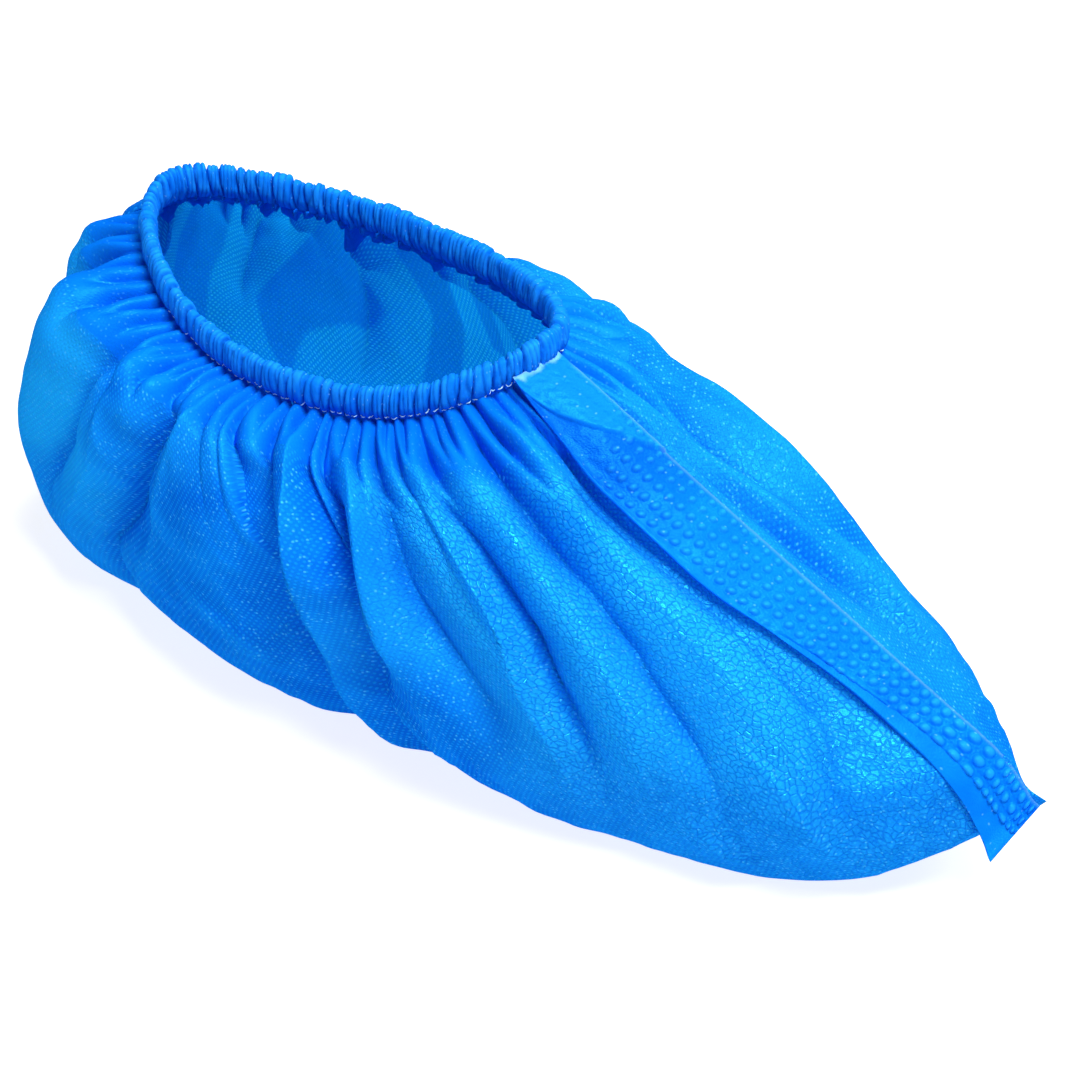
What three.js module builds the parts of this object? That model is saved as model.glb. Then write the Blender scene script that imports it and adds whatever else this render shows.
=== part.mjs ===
// A disposable shoe cover of thin blue non-woven cloth, standing open as it does when it is shaken out.
// One rectangle of cloth is folded under the sole and welded into a bag along the toe and the heel.
// Its mouth is a casing gathered by a hidden elastic, and the welded allowance lies as a strip on each end.
// Millimetres. +X points to the toe, +Z up, and -Y is the side that the toe strip is folded on to.
// The sole rests on Z = 0, and the origin is the middle of the footprint.
import * as THREE from "three";

// ---- driving dimensions ------------------------------------------------------------------------
const WALL = 1; // cloth wall of the bag
const GAP = 0.3; // clearance that neighbouring pieces keep
const AROUND = 96; // columns of facets around the bag, starting at the toe seam
const CASING_HEIGHT = 10;
const CASING_THICKNESS = 4.6;
const CASING_RUCHE = 0.45; // how far the small ruches of the casing stand proud and sink back
const GATHERS = 24; // folds that the elastic draws into the cloth just under the casing
const GATHER_DEPTH = 1.4;
const GATHER_START = 0.05; // shares of the way down between which the gathers stand
const GATHER_END = 0.34;
const FACING_TOP = 0.012; // the turned-down hem inside the mouth, as shares of the way down
const FACING_END = 0.115;
const FACING_WALL = 0.8;
const STRIP_WIDTH = 18; // welded allowance on the toe
const HEEL_STRIP_WIDTH = 14;
const STRIP_THICKNESS = 1.4;
const STRIP_GAP = 0.9; // between a strip's seam edge and the cloth under it
const STRIP_LIFT = 1.6; // how far the free edge of a strip stands off the cloth
const SEAM_CALM = 26; // cloth next to a seam that stays free of folds

// Level curves of the bag from the mouth down to the fold under the sole.
// down: share of the way from mouth to fold; toe, heel: where the level meets the end seams;
// near, far: half widths, and near_z, far_z the heights there;
// sole: 0 is an oval outline and 1 the outline of a sole; level: share of each half that stays level.
const LEVELS = [
  { down: 0.0, toe: 15, toe_z: 110, heel: -114, heel_z: 110, near: 33.5, near_z: 92, far: 28, far_z: 105, sole: 0, level: 0 },
  { down: 0.12, toe: 43, toe_z: 97, heel: -135, heel_z: 98, near: 55, near_z: 90, far: 48, far_z: 89, sole: 0.3, level: 0 },
  { down: 0.32, toe: 92, toe_z: 73, heel: -147, heel_z: 70, near: 66, near_z: 68, far: 60, far_z: 67, sole: 0.7, level: 0.1 },
  { down: 0.55, toe: 143, toe_z: 47.5, heel: -158, heel_z: 41, near: 65, near_z: 36, far: 62, far_z: 36, sole: 1, level: 0.3 },
  { down: 0.7, toe: 153, toe_z: 44, heel: -149, heel_z: 6, near: 54, near_z: 8, far: 54, far_z: 8, sole: 1, level: 0.45 },
  { down: 0.8, toe: 160, toe_z: 37, heel: -137, heel_z: 3, near: 40, near_z: 0, far: 42, far_z: 0, sole: 1, level: 0.55 },
  { down: 1.0, toe: 165.5, toe_z: 35.5, heel: -119, heel_z: 0, near: 0, near_z: 0, far: 0, far_z: 0, sole: 1, level: 0.6 },
];
const RISE = 2.4; // how sharply a level climbs towards its ends

// Outline of the sole: half width as a share of the widest, from the heel at 0 to the toe at 1.
const SOLE_OUTLINE = [
  { along: 0, share: 0 },
  { along: 0.03, share: 0.38 },
  { along: 0.1, share: 0.71 },
  { along: 0.25, share: 0.89 },
  { along: 0.45, share: 0.91 },
  { along: 0.62, share: 0.97 },
  { along: 0.78, share: 0.82 },
  { along: 0.9, share: 0.62 },
  { along: 0.97, share: 0.29 },
  { along: 1, share: 0 },
];

// Large folds that run down the bag. side: -1 near, 1 far; from, to: their ends as share of the side
// from toe seam to heel seam, and share of the way down; height above the cloth, negative for a furrow.
const FOLDS = [
  { side: -1, from: 0.44, from_down: 0.08, to: 0.53, to_down: 0.66, height: 3.4, width: 7 },
  { side: -1, from: 0.39, from_down: 0.14, to: 0.46, to_down: 0.6, height: -2.4, width: 7 },
  { side: -1, from: 0.345, from_down: 0.14, to: 0.39, to_down: 0.55, height: 2.6, width: 8 },
  { side: -1, from: 0.3, from_down: 0.14, to: 0.31, to_down: 0.52, height: -2.4, width: 8 },
  { side: -1, from: 0.255, from_down: 0.14, to: 0.24, to_down: 0.56, height: 3.2, width: 8 },
  { side: -1, from: 0.59, from_down: 0.16, to: 0.64, to_down: 0.6, height: 4.5, width: 18 },
  { side: -1, from: 0.66, from_down: 0.12, to: 0.77, to_down: 0.6, height: -3.2, width: 8 },
  { side: -1, from: 0.76, from_down: 0.14, to: 0.87, to_down: 0.56, height: 3.2, width: 10 },
  { side: -1, from: 0.19, from_down: 0.34, to: 0.14, to_down: 0.6, height: -3, width: 8 },
  { side: 1, from: 0.22, from_down: 0.12, to: 0.18, to_down: 0.6, height: -3.2, width: 9 },
  { side: 1, from: 0.34, from_down: 0.12, to: 0.32, to_down: 0.6, height: 3.6, width: 11 },
  { side: 1, from: 0.46, from_down: 0.12, to: 0.5, to_down: 0.62, height: -3.4, width: 9 },
  { side: 1, from: 0.6, from_down: 0.12, to: 0.64, to_down: 0.6, height: 4, width: 14 },
  { side: 1, from: 0.76, from_down: 0.12, to: 0.84, to_down: 0.56, height: -3.2, width: 9 },
];

// Rows of facets down the bag, closest where it turns under.
const ROWS = [0, 0.04, 0.08, 0.13, 0.19, 0.26, 0.34, 0.43, 0.52, 0.6, 0.67, 0.73, 0.8, 0.9, 1];

// ---- small tools -------------------------------------------------------------------------------
const clamp01 = (x) => Math.min(1, Math.max(0, x));
const mix = THREE.MathUtils.lerp;
const smooth = (x) => THREE.MathUtils.smoothstep(x, 0, 1);

// Slopes of a curve through the points that never overshoots them.
function calmSlopes(x, y) {
  const last = x.length - 1;
  const step = (i) => (y[i + 1] - y[i]) / (x[i + 1] - x[i]);
  return x.map((_, i) => {
    if (i === 0) return step(0);
    if (i === last) return step(last - 1);
    const before = step(i - 1);
    const after = step(i);
    return before * after <= 0 ? 0 : (2 * before * after) / (before + after);
  });
}

// A function of the key column that runs smoothly through another column of the table.
function columnCurve(table, key, column) {
  const x = table.map((row) => row[key]);
  const y = table.map((row) => row[column]);
  const slope = calmSlopes(x, y);
  return (at) => {
    let i = 0;
    while (i < x.length - 2 && at > x[i + 1]) i += 1;
    const span = x[i + 1] - x[i];
    const t = clamp01((at - x[i]) / span);
    const s = 1 - t;
    const ends = y[i] * (1 + 2 * t) * s * s + y[i + 1] * (3 - 2 * t) * t * t;
    return ends + span * t * s * (slope[i] * s - slope[i + 1] * t);
  };
}

const outlineShare = columnCurve(SOLE_OUTLINE, "along", "share");
const levelCurves = Object.keys(LEVELS[0]).map((name) => [name, columnCurve(LEVELS, "down", name)]);
const levelAt = (down) => Object.fromEntries(levelCurves.map(([name, curve]) => [name, curve(down)]));

// ---- the bag's unfolded form -------------------------------------------------------------------
// A point of one side of a level, at a share of the length from the heel seam to the toe seam.
function sidePoint(row, side, along) {
  const oval = Math.sqrt(4 * along * (1 - along));
  const width = (side < 0 ? row.near : row.far) * mix(oval, outlineShare(along), row.sole);
  const sideZ = side < 0 ? row.near_z : row.far_z;
  const endZ = along > 0.5 ? row.toe_z : row.heel_z;
  const climb = clamp01((Math.abs(2 * along - 1) - row.level) / (1 - row.level)) ** RISE;
  return new THREE.Vector3(mix(row.heel, row.toe, along), side * width, mix(sideZ, endZ, climb));
}

// One side of a level as a curve that is sampled evenly by its own length, from toe to heel.
const SIDE_SAMPLES = 160;
function sideCurve(down, side) {
  const row = levelAt(down);
  const points = [];
  for (let k = 0; k <= SIDE_SAMPLES; k += 1) {
    const along = (1 + Math.cos((Math.PI * k) / SIDE_SAMPLES)) / 2;
    points.push(sidePoint(row, side, along));
  }
  const reach = [0];
  for (let k = 1; k <= SIDE_SAMPLES; k += 1) {
    reach.push(reach[k - 1] + points[k].distanceTo(points[k - 1]));
  }
  const length = reach[SIDE_SAMPLES];
  const at = (share) => {
    const wanted = clamp01(share) * length;
    let k = 1;
    while (k < SIDE_SAMPLES && reach[k] < wanted) k += 1;
    const t = (wanted - reach[k - 1]) / (reach[k] - reach[k - 1]);
    return points[k - 1].clone().lerp(points[k], t);
  };
  return { length, at };
}

// Both sides of every level that has been asked for.
const curveStore = new Map();
function levelSide(down, side) {
  const key = `${side}:${down.toFixed(5)}`;
  if (!curveStore.has(key)) curveStore.set(key, sideCurve(down, side));
  return curveStore.get(key);
}

// A point of the unfolded bag. share runs from the toe seam at 0 to the heel seam at 1.
const bagPoint = (side, share, down) => levelSide(down, side).at(share);

// The outward direction there, from neighbours a little way off along and down the cloth.
function bagNormal(side, share, down) {
  const aside = 0.02;
  const drop = 0.01;
  const low = Math.min(down + drop, 1);
  const high = Math.max(down - drop, 0);
  // Past a seam the cloth goes on along the other side.
  const beside = (s) => (s < 0 ? bagPoint(-side, -s, down) : s > 1 ? bagPoint(-side, 2 - s, down) : bagPoint(side, s, down));
  const alongCloth = beside(share + aside).sub(beside(share - aside));
  const downCloth = bagPoint(side, share, low).sub(bagPoint(side, share, high));
  return downCloth.cross(alongCloth).multiplyScalar(side).normalize();
}

// ---- folds and gathers -------------------------------------------------------------------------
const FLAT_HEIGHT = 185; // cloth from mouth to fold, which turns a share of the way down into millimetres

// Height of one large fold at a place on its side: a ridge along a line, fading at both of its ends.
function foldHeight(fold, share, down, length) {
  const ax = fold.from * length;
  const ay = fold.from_down * FLAT_HEIGHT;
  const dx = fold.to * length - ax;
  const dy = fold.to_down * FLAT_HEIGHT - ay;
  const px = share * length - ax;
  const py = down * FLAT_HEIGHT - ay;
  const t = clamp01((px * dx + py * dy) / (dx * dx + dy * dy));
  const away = Math.hypot(px - t * dx, py - t * dy);
  const body = Math.sqrt(Math.sin(Math.PI * mix(0.12, 0.94, t)));
  return fold.height * body * Math.exp(-((away / fold.width) ** 2));
}

// How strong folds may be: none at the seams, and none on the part of the sole that lies flat.
function foldRoom(share, down, length) {
  const fromSeam = Math.min(share, 1 - share) * length;
  return smooth(fromSeam / SEAM_CALM - 0.35) * smooth((0.76 - down) / 0.12);
}

// Distance that the cloth stands out of its unfolded form.
function relief(side, share, down) {
  const { length } = levelSide(down, side);
  const turn = side < 0 ? share / 2 : 1 - share / 2;
  const gather = Math.cos(2 * Math.PI * GATHERS * turn + 1.3 * Math.sin(6 * Math.PI * turn));
  const gatherDepth = GATHER_DEPTH * smooth(down / GATHER_START) * smooth(1 - down / GATHER_END);
  const large = FOLDS.filter((fold) => fold.side === side)
    .map((fold) => foldHeight(fold, share, down, length))
    .reduce((sum, height) => sum + height, 0);
  const nearMouth = smooth((down - FACING_END + 0.02) / 0.1);
  return foldRoom(share, down, length) * (gatherDepth * gather + nearMouth * large);
}

function clothPoint(side, share, down, out = 0) {
  const point = bagPoint(side, share, down);
  return point.addScaledVector(bagNormal(side, share, down), relief(side, share, down) + out);
}

// Side and share for a place around the bag, where 0 is the toe seam and 0.5 the heel seam.
function placeAround(turn) {
  const t = ((turn % 1) + 1) % 1;
  return t <= 0.5 ? { side: -1, share: 2 * t } : { side: 1, share: 2 - 2 * t };
}

// ---- meshes ------------------------------------------------------------------------------------
function meshFrom(name, points, faces, material) {
  const geometry = new THREE.BufferGeometry();
  geometry.setAttribute("position", new THREE.Float32BufferAttribute(points.flatMap((p) => p.toArray()), 3));
  geometry.setIndex(faces.flat());
  geometry.computeVertexNormals();
  const mesh = new THREE.Mesh(geometry, material);
  mesh.name = name;
  return mesh;
}

// Faces of a grid of points. at(i, j) is a point's number; i runs across and j down.
function gridFaces(columns, rows, at) {
  const faces = [];
  for (let j = 0; j < rows; j += 1) {
    for (let i = 0; i < columns; i += 1) {
      faces.push([at(i, j), at(i + 1, j), at(i, j + 1)], [at(i + 1, j), at(i + 1, j + 1), at(i, j + 1)]);
    }
  }
  return faces.filter(([a, b, c]) => a !== b && b !== c && c !== a);
}

// Closes two matching sheets, one above the other, along the rim that goes through the listed points.
function rimFaces(rim, under, closed) {
  const faces = [];
  const steps = closed ? rim.length : rim.length - 1;
  for (let k = 0; k < steps; k += 1) {
    const a = rim[k];
    const b = rim[(k + 1) % rim.length];
    faces.push([b, a, a + under], [b, a + under, b + under]);
  }
  return faces;
}

// The bag: an outer sheet and an inner one a wall's thickness inside it, joined around the mouth.
function coverShell(material) {
  const rows = ROWS.length - 1;
  const half = AROUND / 2;
  const ring = (i) => ((i % AROUND) + AROUND) % AROUND;
  // Under the sole both sides meet on one fold, so its points are shared.
  const fold = (i) => Math.min(ring(i), AROUND - ring(i));
  const number = (i, j) => (j < rows ? j * AROUND + ring(i) : rows * AROUND + fold(i));
  const outer = [];
  for (let j = 0; j < rows; j += 1) {
    for (let i = 0; i < AROUND; i += 1) {
      const { side, share } = placeAround(i / AROUND);
      outer.push(clothPoint(side, share, ROWS[j]));
    }
  }
  for (let i = 0; i <= half; i += 1) outer.push(bagPoint(-1, i / half, 1));
  const faces = gridFaces(AROUND, rows, number);
  const skin = meshFrom("skin", outer, faces, material).geometry.getAttribute("normal");
  const inner = outer.map((p, k) => {
    const normal = new THREE.Vector3().fromBufferAttribute(skin, k);
    return p.clone().addScaledVector(normal, -WALL);
  });
  const under = outer.length;
  const mouth = Array.from({ length: AROUND }, (_, i) => i);
  const lining = faces.map(([a, b, c]) => [a + under, c + under, b + under]);
  const all = [...faces, ...lining, ...rimFaces(mouth, under, true)];
  return meshFrom("cover_shell", [...outer, ...inner], all, material);
}

// The casing: a ring of oval section on top of the bag's edge, ruched over the elastic.
const CASING_SIDES = 8;
function elasticCasing(material) {
  const points = [];
  const up = new THREE.Vector3(0, 0, 1);
  for (let i = 0; i < AROUND; i += 1) {
    const { side, share } = placeAround(i / AROUND);
    const out = bagNormal(side, share, 0).setZ(0).normalize();
    const centre = bagPoint(side, share, 0).addScaledVector(up, CASING_HEIGHT / 2 + GAP);
    const ruche = i % 2 ? CASING_RUCHE : -CASING_RUCHE;
    for (let k = 0; k < CASING_SIDES; k += 1) {
      const angle = (2 * Math.PI * (k + 0.5)) / CASING_SIDES;
      const across = (CASING_THICKNESS / 2 + ruche) * Math.cos(angle);
      const rise = (CASING_HEIGHT / 2) * Math.sin(angle);
      points.push(centre.clone().addScaledVector(out, across).addScaledVector(up, rise));
    }
  }
  const number = (i, k) => (i % AROUND) * CASING_SIDES + ((CASING_SIDES - (k % CASING_SIDES)) % CASING_SIDES);
  return meshFrom("elastic_casing", points, gridFaces(AROUND, CASING_SIDES, number), material);
}

// The hem allowance, turned down inside the mouth and held by the casing's seam.
const FACING_COLUMNS = 64;
const FACING_ROWS = 3;
function hemFacing(material) {
  const sheet = (depth) => {
    const points = [];
    for (let j = 0; j <= FACING_ROWS; j += 1) {
      const down = mix(FACING_TOP, FACING_END, j / FACING_ROWS);
      for (let i = 0; i < FACING_COLUMNS; i += 1) {
        const { side, share } = placeAround(i / FACING_COLUMNS);
        points.push(bagPoint(side, share, down).addScaledVector(bagNormal(side, share, down), -depth));
      }
    }
    return points;
  };
  const clear = GATHER_DEPTH + WALL + 3 * GAP;
  const outer = sheet(clear);
  const inner = sheet(clear + FACING_WALL);
  const under = outer.length;
  const number = (i, j) => j * FACING_COLUMNS + (i % FACING_COLUMNS);
  const faces = gridFaces(FACING_COLUMNS, FACING_ROWS, number);
  const lining = faces.map(([a, b, c]) => [a + under, c + under, b + under]);
  const top = Array.from({ length: FACING_COLUMNS }, (_, i) => number(i, 0));
  const bottom = top.map((_, i) => number(FACING_COLUMNS - i, FACING_ROWS));
  const all = [...faces, ...lining, ...rimFaces(top, under, true), ...rimFaces(bottom, under, true)];
  return meshFrom("hem_facing", [...outer, ...inner], all, material);
}

// A welded seam allowance, folded over on to one side and lying along its end seam.
const STRIP_COLUMNS = 4;
const STRIP_ROWS = 26;
function seamStrip(name, { side, heel, width, from, to }, material) {
  const place = (i, j) => {
    const down = mix(from, to, j / STRIP_ROWS);
    const across = (width * i) / STRIP_COLUMNS / levelSide(down, side).length;
    return { down, share: heel ? 1 - across : across, free: i / STRIP_COLUMNS };
  };
  const sheet = (thickness) => {
    const points = [];
    for (let j = 0; j <= STRIP_ROWS; j += 1) {
      for (let i = 0; i <= STRIP_COLUMNS; i += 1) {
        const { down, share, free } = place(i, j);
        const lift = STRIP_GAP + STRIP_LIFT * free * free + thickness;
        points.push(clothPoint(side, share, down, lift));
      }
    }
    return points;
  };
  const over = sheet(STRIP_THICKNESS);
  const below = sheet(0);
  const under = over.length;
  const number = (i, j) => j * (STRIP_COLUMNS + 1) + i;
  const turned = heel === side < 0;
  const flip = ([a, b, c]) => (turned ? [a, c, b] : [a, b, c]);
  const faces = gridFaces(STRIP_COLUMNS, STRIP_ROWS, number);
  const lining = faces.map(([a, b, c]) => [a + under, c + under, b + under]);
  const rim = [];
  for (let i = 0; i < STRIP_COLUMNS; i += 1) rim.push(number(i, 0));
  for (let j = 0; j < STRIP_ROWS; j += 1) rim.push(number(STRIP_COLUMNS, j));
  for (let i = STRIP_COLUMNS; i > 0; i -= 1) rim.push(number(i, STRIP_ROWS));
  for (let j = STRIP_ROWS; j > 0; j -= 1) rim.push(number(0, j));
  const all = [...faces, ...lining, ...rimFaces(rim, under, true)].map(flip);
  return meshFrom(name, [...over, ...below], all, material);
}

// ---- assembly ----------------------------------------------------------------------------------
const cloth = (color, roughness) => new THREE.MeshStandardMaterial({ color, roughness, metalness: 0 });

const pieces = new THREE.Group();
pieces.add(
  coverShell(cloth(0x1385ee, 0.5)),
  elasticCasing(cloth(0x1b7ce0, 0.62)),
  hemFacing(cloth(0x0e6fd2, 0.6)),
  seamStrip("toe_seam_strip", { side: -1, heel: false, width: STRIP_WIDTH, from: 0.015, to: 0.985 }, cloth(0x1677e6, 0.5)),
  seamStrip("heel_seam_strip", { side: 1, heel: true, width: HEEL_STRIP_WIDTH, from: 0.02, to: 0.7 }, cloth(0x1b78e2, 0.5)),
);

// The footprint's middle is brought to the origin.
const box = new THREE.Box3().setFromObject(pieces);
pieces.position.set(-(box.min.x + box.max.x) / 2, -(box.min.y + box.max.y) / 2, -box.min.z);

const shoeCover = new THREE.Group();
shoeCover.name = "shoe_cover";
shoeCover.add(pieces);

export default shoeCover;
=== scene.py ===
"""A disposable shoe cover of thin blue non-woven cloth, standing open as it does when shaken out.

The bag is one rectangle of cloth, folded under the sole and welded along the toe and the heel.
Elastic inside a ruched casing draws its mouth together, so the cloth under it falls in pleats that
merge on the way down. Lengths are millimetres up to the point where a mesh is made.
A place on the cloth has a turn, from the toe seam at 0 along the near side to the heel seam at 0.5
and back along the far side, and a down, from the casing's stitching at 0 to the sole's fold at 1.
"""
import math

import bpy
import numpy as np
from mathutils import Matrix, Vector


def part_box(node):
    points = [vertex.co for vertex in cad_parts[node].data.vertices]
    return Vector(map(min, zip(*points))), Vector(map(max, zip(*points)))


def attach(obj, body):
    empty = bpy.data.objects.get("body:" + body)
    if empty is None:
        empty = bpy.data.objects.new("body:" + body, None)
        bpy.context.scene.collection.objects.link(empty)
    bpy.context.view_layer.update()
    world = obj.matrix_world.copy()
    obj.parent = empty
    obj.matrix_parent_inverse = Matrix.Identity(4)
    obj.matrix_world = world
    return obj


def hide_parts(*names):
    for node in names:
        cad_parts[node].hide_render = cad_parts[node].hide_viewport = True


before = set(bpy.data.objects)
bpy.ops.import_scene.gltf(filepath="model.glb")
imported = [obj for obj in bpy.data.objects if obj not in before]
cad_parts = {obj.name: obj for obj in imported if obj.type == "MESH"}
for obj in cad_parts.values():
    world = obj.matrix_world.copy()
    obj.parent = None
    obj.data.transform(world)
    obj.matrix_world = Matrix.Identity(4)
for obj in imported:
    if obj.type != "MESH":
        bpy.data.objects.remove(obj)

MM = 0.001
NEAR, FAR = -1, 1
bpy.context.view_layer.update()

# ---- the bag's form ----------------------------------------------------------------------------
# Level curves from the mouth down to the fold under the sole.
# toe, heel: where the level meets the end seams; near, far: half widths; _z: the heights there;
# sole: 0 is an oval outline and 1 a sole's; level: share of each half that stays level.
LEVEL_COLUMNS = ("down", "toe", "toe_z", "heel", "heel_z", "near", "near_z", "far", "far_z", "sole", "level")
LEVELS = [
    (0.00, 15, 110, -114, 110, 33.5, 92, 28, 105, 0, 0),
    (0.12, 43, 97, -132, 97, 55, 90, 48, 89, 0.3, 0),
    (0.32, 92, 73, -146, 70, 66, 68, 60, 67, 0.7, 0.1),
    (0.55, 143, 47.5, -158, 41, 65, 36, 62, 36, 1, 0.3),
    (0.70, 153, 44, -149, 6, 54, 8, 54, 8, 1, 0.45),
    (0.80, 160, 37, -137, 3, 40, 0, 42, 0, 1, 0.55),
    (1.00, 165.5, 35.5, -119, 0, 0, 0, 0, 0, 1, 0.6),
]
RISE = 2.4
# Outline of the sole: half width as a share of the widest, from the heel at 0 to the toe at 1.
OUTLINE_ALONG = (0, 0.03, 0.1, 0.25, 0.45, 0.62, 0.78, 0.9, 0.97, 1)
OUTLINE_SHARE = (0, 0.38, 0.75, 0.86, 0.9, 0.97, 0.82, 0.61, 0.32, 0)

FLAT_LENGTH = 380.0  # the cut cloth from toe seam to heel seam
FLAT_HEIGHT = 190.0  # and from the stitching to the fold under the sole
HEM = 22.0  # turned down inside the mouth
COLUMNS = 1064
ROWS = 92

# ---- pleats and folds --------------------------------------------------------------------------
PLEATS = 84
# How the pleats merge: height over width of a lobe, the widest in millimetres that counts, and where
# its level starts, is full, begins to fade and has gone.
PLEAT_LEVELS = [
    {"height": 0.62, "widest": 6, "start": -0.02, "full": -0.005, "fade": 0.045, "end": 0.1},
    {"height": 0.55, "widest": 10, "start": 0.02, "full": 0.075, "fade": 0.1, "end": 0.17},
    {"height": 0.42, "widest": 16, "start": 0.07, "full": 0.13, "fade": 0.16, "end": 0.27},
    {"height": 0.15, "widest": 24, "start": 0.12, "full": 0.2, "fade": 0.26, "end": 0.42},
]
CALM_PANEL = (0.255, 0.272, 0.305, 0.33)  # turns of the broad panel that stays nearly free of pleats
CALM_LEVEL, CALM_SHARE = 2, 0.85  # the pleats that it loses: from which level on, and how much of them
FAR_WINDOW = (0.48, 0.56, 0.9, 0.97)  # turns between which the far side's pleats hang out
PENDANT_WINDOW = (0.0, 0.045, 0.08, 0.17)  # and the way down between which all of them do
LOBE_MEAN = 0.62  # a lobe's mean height, so that pleats leave the cloth where it was
PENDANT = {NEAR: 1.6, FAR: 2.0}  # how far the pleats hang out just under the casing
# Ridges and valleys that run down each side, in order from the toe seam to the heel seam: how sharp
# the line is, then the way down, the share of the side and the height in millimetres of its points.
NEAR_LINES = [
    (0.8, [(0.05, 0.11, -1.5), (0.14, 0.105, -2.4), (0.25, 0.09, -2.6), (0.35, 0.08, -3.2),
           (0.42, 0.082, -3.4), (0.48, 0.1, -3), (0.55, 0.112, -1.5), (0.62, 0.115, 0)]),
    (0.1, [(0.1, 0.14, 1), (0.14, 0.14, 2.2), (0.23, 0.13, 2.8), (0.36, 0.12, 2.4), (0.5, 0.135, 2),
           (0.62, 0.14, 1.6), (0.76, 0.145, 0)]),
    (0.9, [(0.1, 0.17, -1), (0.18, 0.17, -3), (0.26, 0.168, -3), (0.33, 0.17, -2.6), (0.39, 0.18, -2),
           (0.5, 0.19, -1.2), (0.62, 0.2, 0)]),
    (0.0, [(0.1, 0.21, 0), (0.22, 0.21, 2.6), (0.32, 0.21, 3), (0.41, 0.212, 2.6), (0.55, 0.22, 1.2),
           (0.7, 0.23, 0)]),
    (0.9, [(0.1, 0.252, -1), (0.14, 0.25, -3), (0.2, 0.241, -4), (0.3, 0.246, -4), (0.4, 0.266, -3.6),
           (0.5, 0.28, -2.6), (0.62, 0.29, -1), (0.72, 0.3, 0)]),
    (0.5, [(0.06, 0.275, 1), (0.12, 0.28, 3), (0.2, 0.275, 4.4), (0.28, 0.27, 4.4), (0.36, 0.283, 3.8),
           (0.45, 0.302, 2.6), (0.58, 0.31, 0)]),
    (0.4, [(0.08, 0.31, -1), (0.12, 0.315, -3), (0.19, 0.33, -4), (0.28, 0.345, -4.2), (0.38, 0.35, -3.6),
           (0.47, 0.348, -2.4), (0.6, 0.36, 0)]),
    (0.25, [(0.06, 0.345, 1), (0.12, 0.35, 3), (0.22, 0.368, 4.6), (0.3, 0.383, 5), (0.4, 0.395, 4.4),
            (0.48, 0.402, 3.4), (0.64, 0.43, 0)]),
    (0.7, [(0.08, 0.375, -1), (0.13, 0.38, -3), (0.22, 0.394, -4.2), (0.32, 0.413, -4.4), (0.44, 0.447, -3.8),
           (0.53, 0.465, -2.6), (0.66, 0.48, -2.2), (0.8, 0.485, 0)]),
    (0.45, [(0.06, 0.42, 1), (0.1, 0.425, 3), (0.16, 0.43, 4.4), (0.27, 0.446, 5.6), (0.38, 0.472, 5.4),
            (0.48, 0.49, 4.2), (0.58, 0.5, 2.8), (0.7, 0.51, 2), (0.8, 0.52, 0)]),
    (1.0, [(0.08, 0.455, -1), (0.14, 0.463, -3), (0.2, 0.473, -4.6), (0.27, 0.481, -5), (0.37, 0.503, -5),
           (0.47, 0.527, -4.2), (0.57, 0.535, -3.6), (0.7, 0.545, -3.2), (0.8, 0.55, 0)]),
    (0.0, [(0.1, 0.54, 0), (0.16, 0.555, 2.6), (0.28, 0.575, 4.4), (0.4, 0.6, 5.2), (0.5, 0.61, 4.8),
           (0.6, 0.61, 4), (0.7, 0.61, 3.2), (0.8, 0.61, 0)]),
    (0.7, [(0.1, 0.572, 1), (0.14, 0.58, 3.4), (0.18, 0.592, 3.8), (0.29, 0.625, 3.6), (0.4, 0.655, 3.2),
           (0.51, 0.69, 2.4), (0.68, 0.76, 0)]),
    (1.0, [(0.1, 0.6, -1), (0.14, 0.606, -3), (0.2, 0.625, -4.4), (0.29, 0.654, -4.6), (0.4, 0.688, -4.4),
           (0.51, 0.722, -3.8), (0.62, 0.77, -2.8), (0.76, 0.81, 0)]),
    (0.3, [(0.08, 0.67, 1), (0.2, 0.692, 2.8), (0.3, 0.712, 3.2), (0.42, 0.747, 2.8), (0.55, 0.785, 1.6),
           (0.68, 0.82, 0)]),
    (0.9, [(0.06, 0.73, -1), (0.14, 0.737, -3), (0.24, 0.753, -3.6), (0.35, 0.775, -3.2), (0.5, 0.81, -2.2),
           (0.62, 0.84, 0)]),
    (0.0, [(0.06, 0.82, 1), (0.14, 0.83, 3), (0.26, 0.84, 3.4), (0.36, 0.85, 3), (0.56, 0.88, 0)]),
    (0.9, [(0.06, 0.9, -1), (0.16, 0.9, -3), (0.3, 0.915, -3), (0.45, 0.925, -1.6), (0.6, 0.93, 0)]),
    (0.0, [(0.1, 0.95, 0), (0.2, 0.952, 1.4), (0.3, 0.955, 1.4), (0.5, 0.96, 0)]),
]
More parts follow.
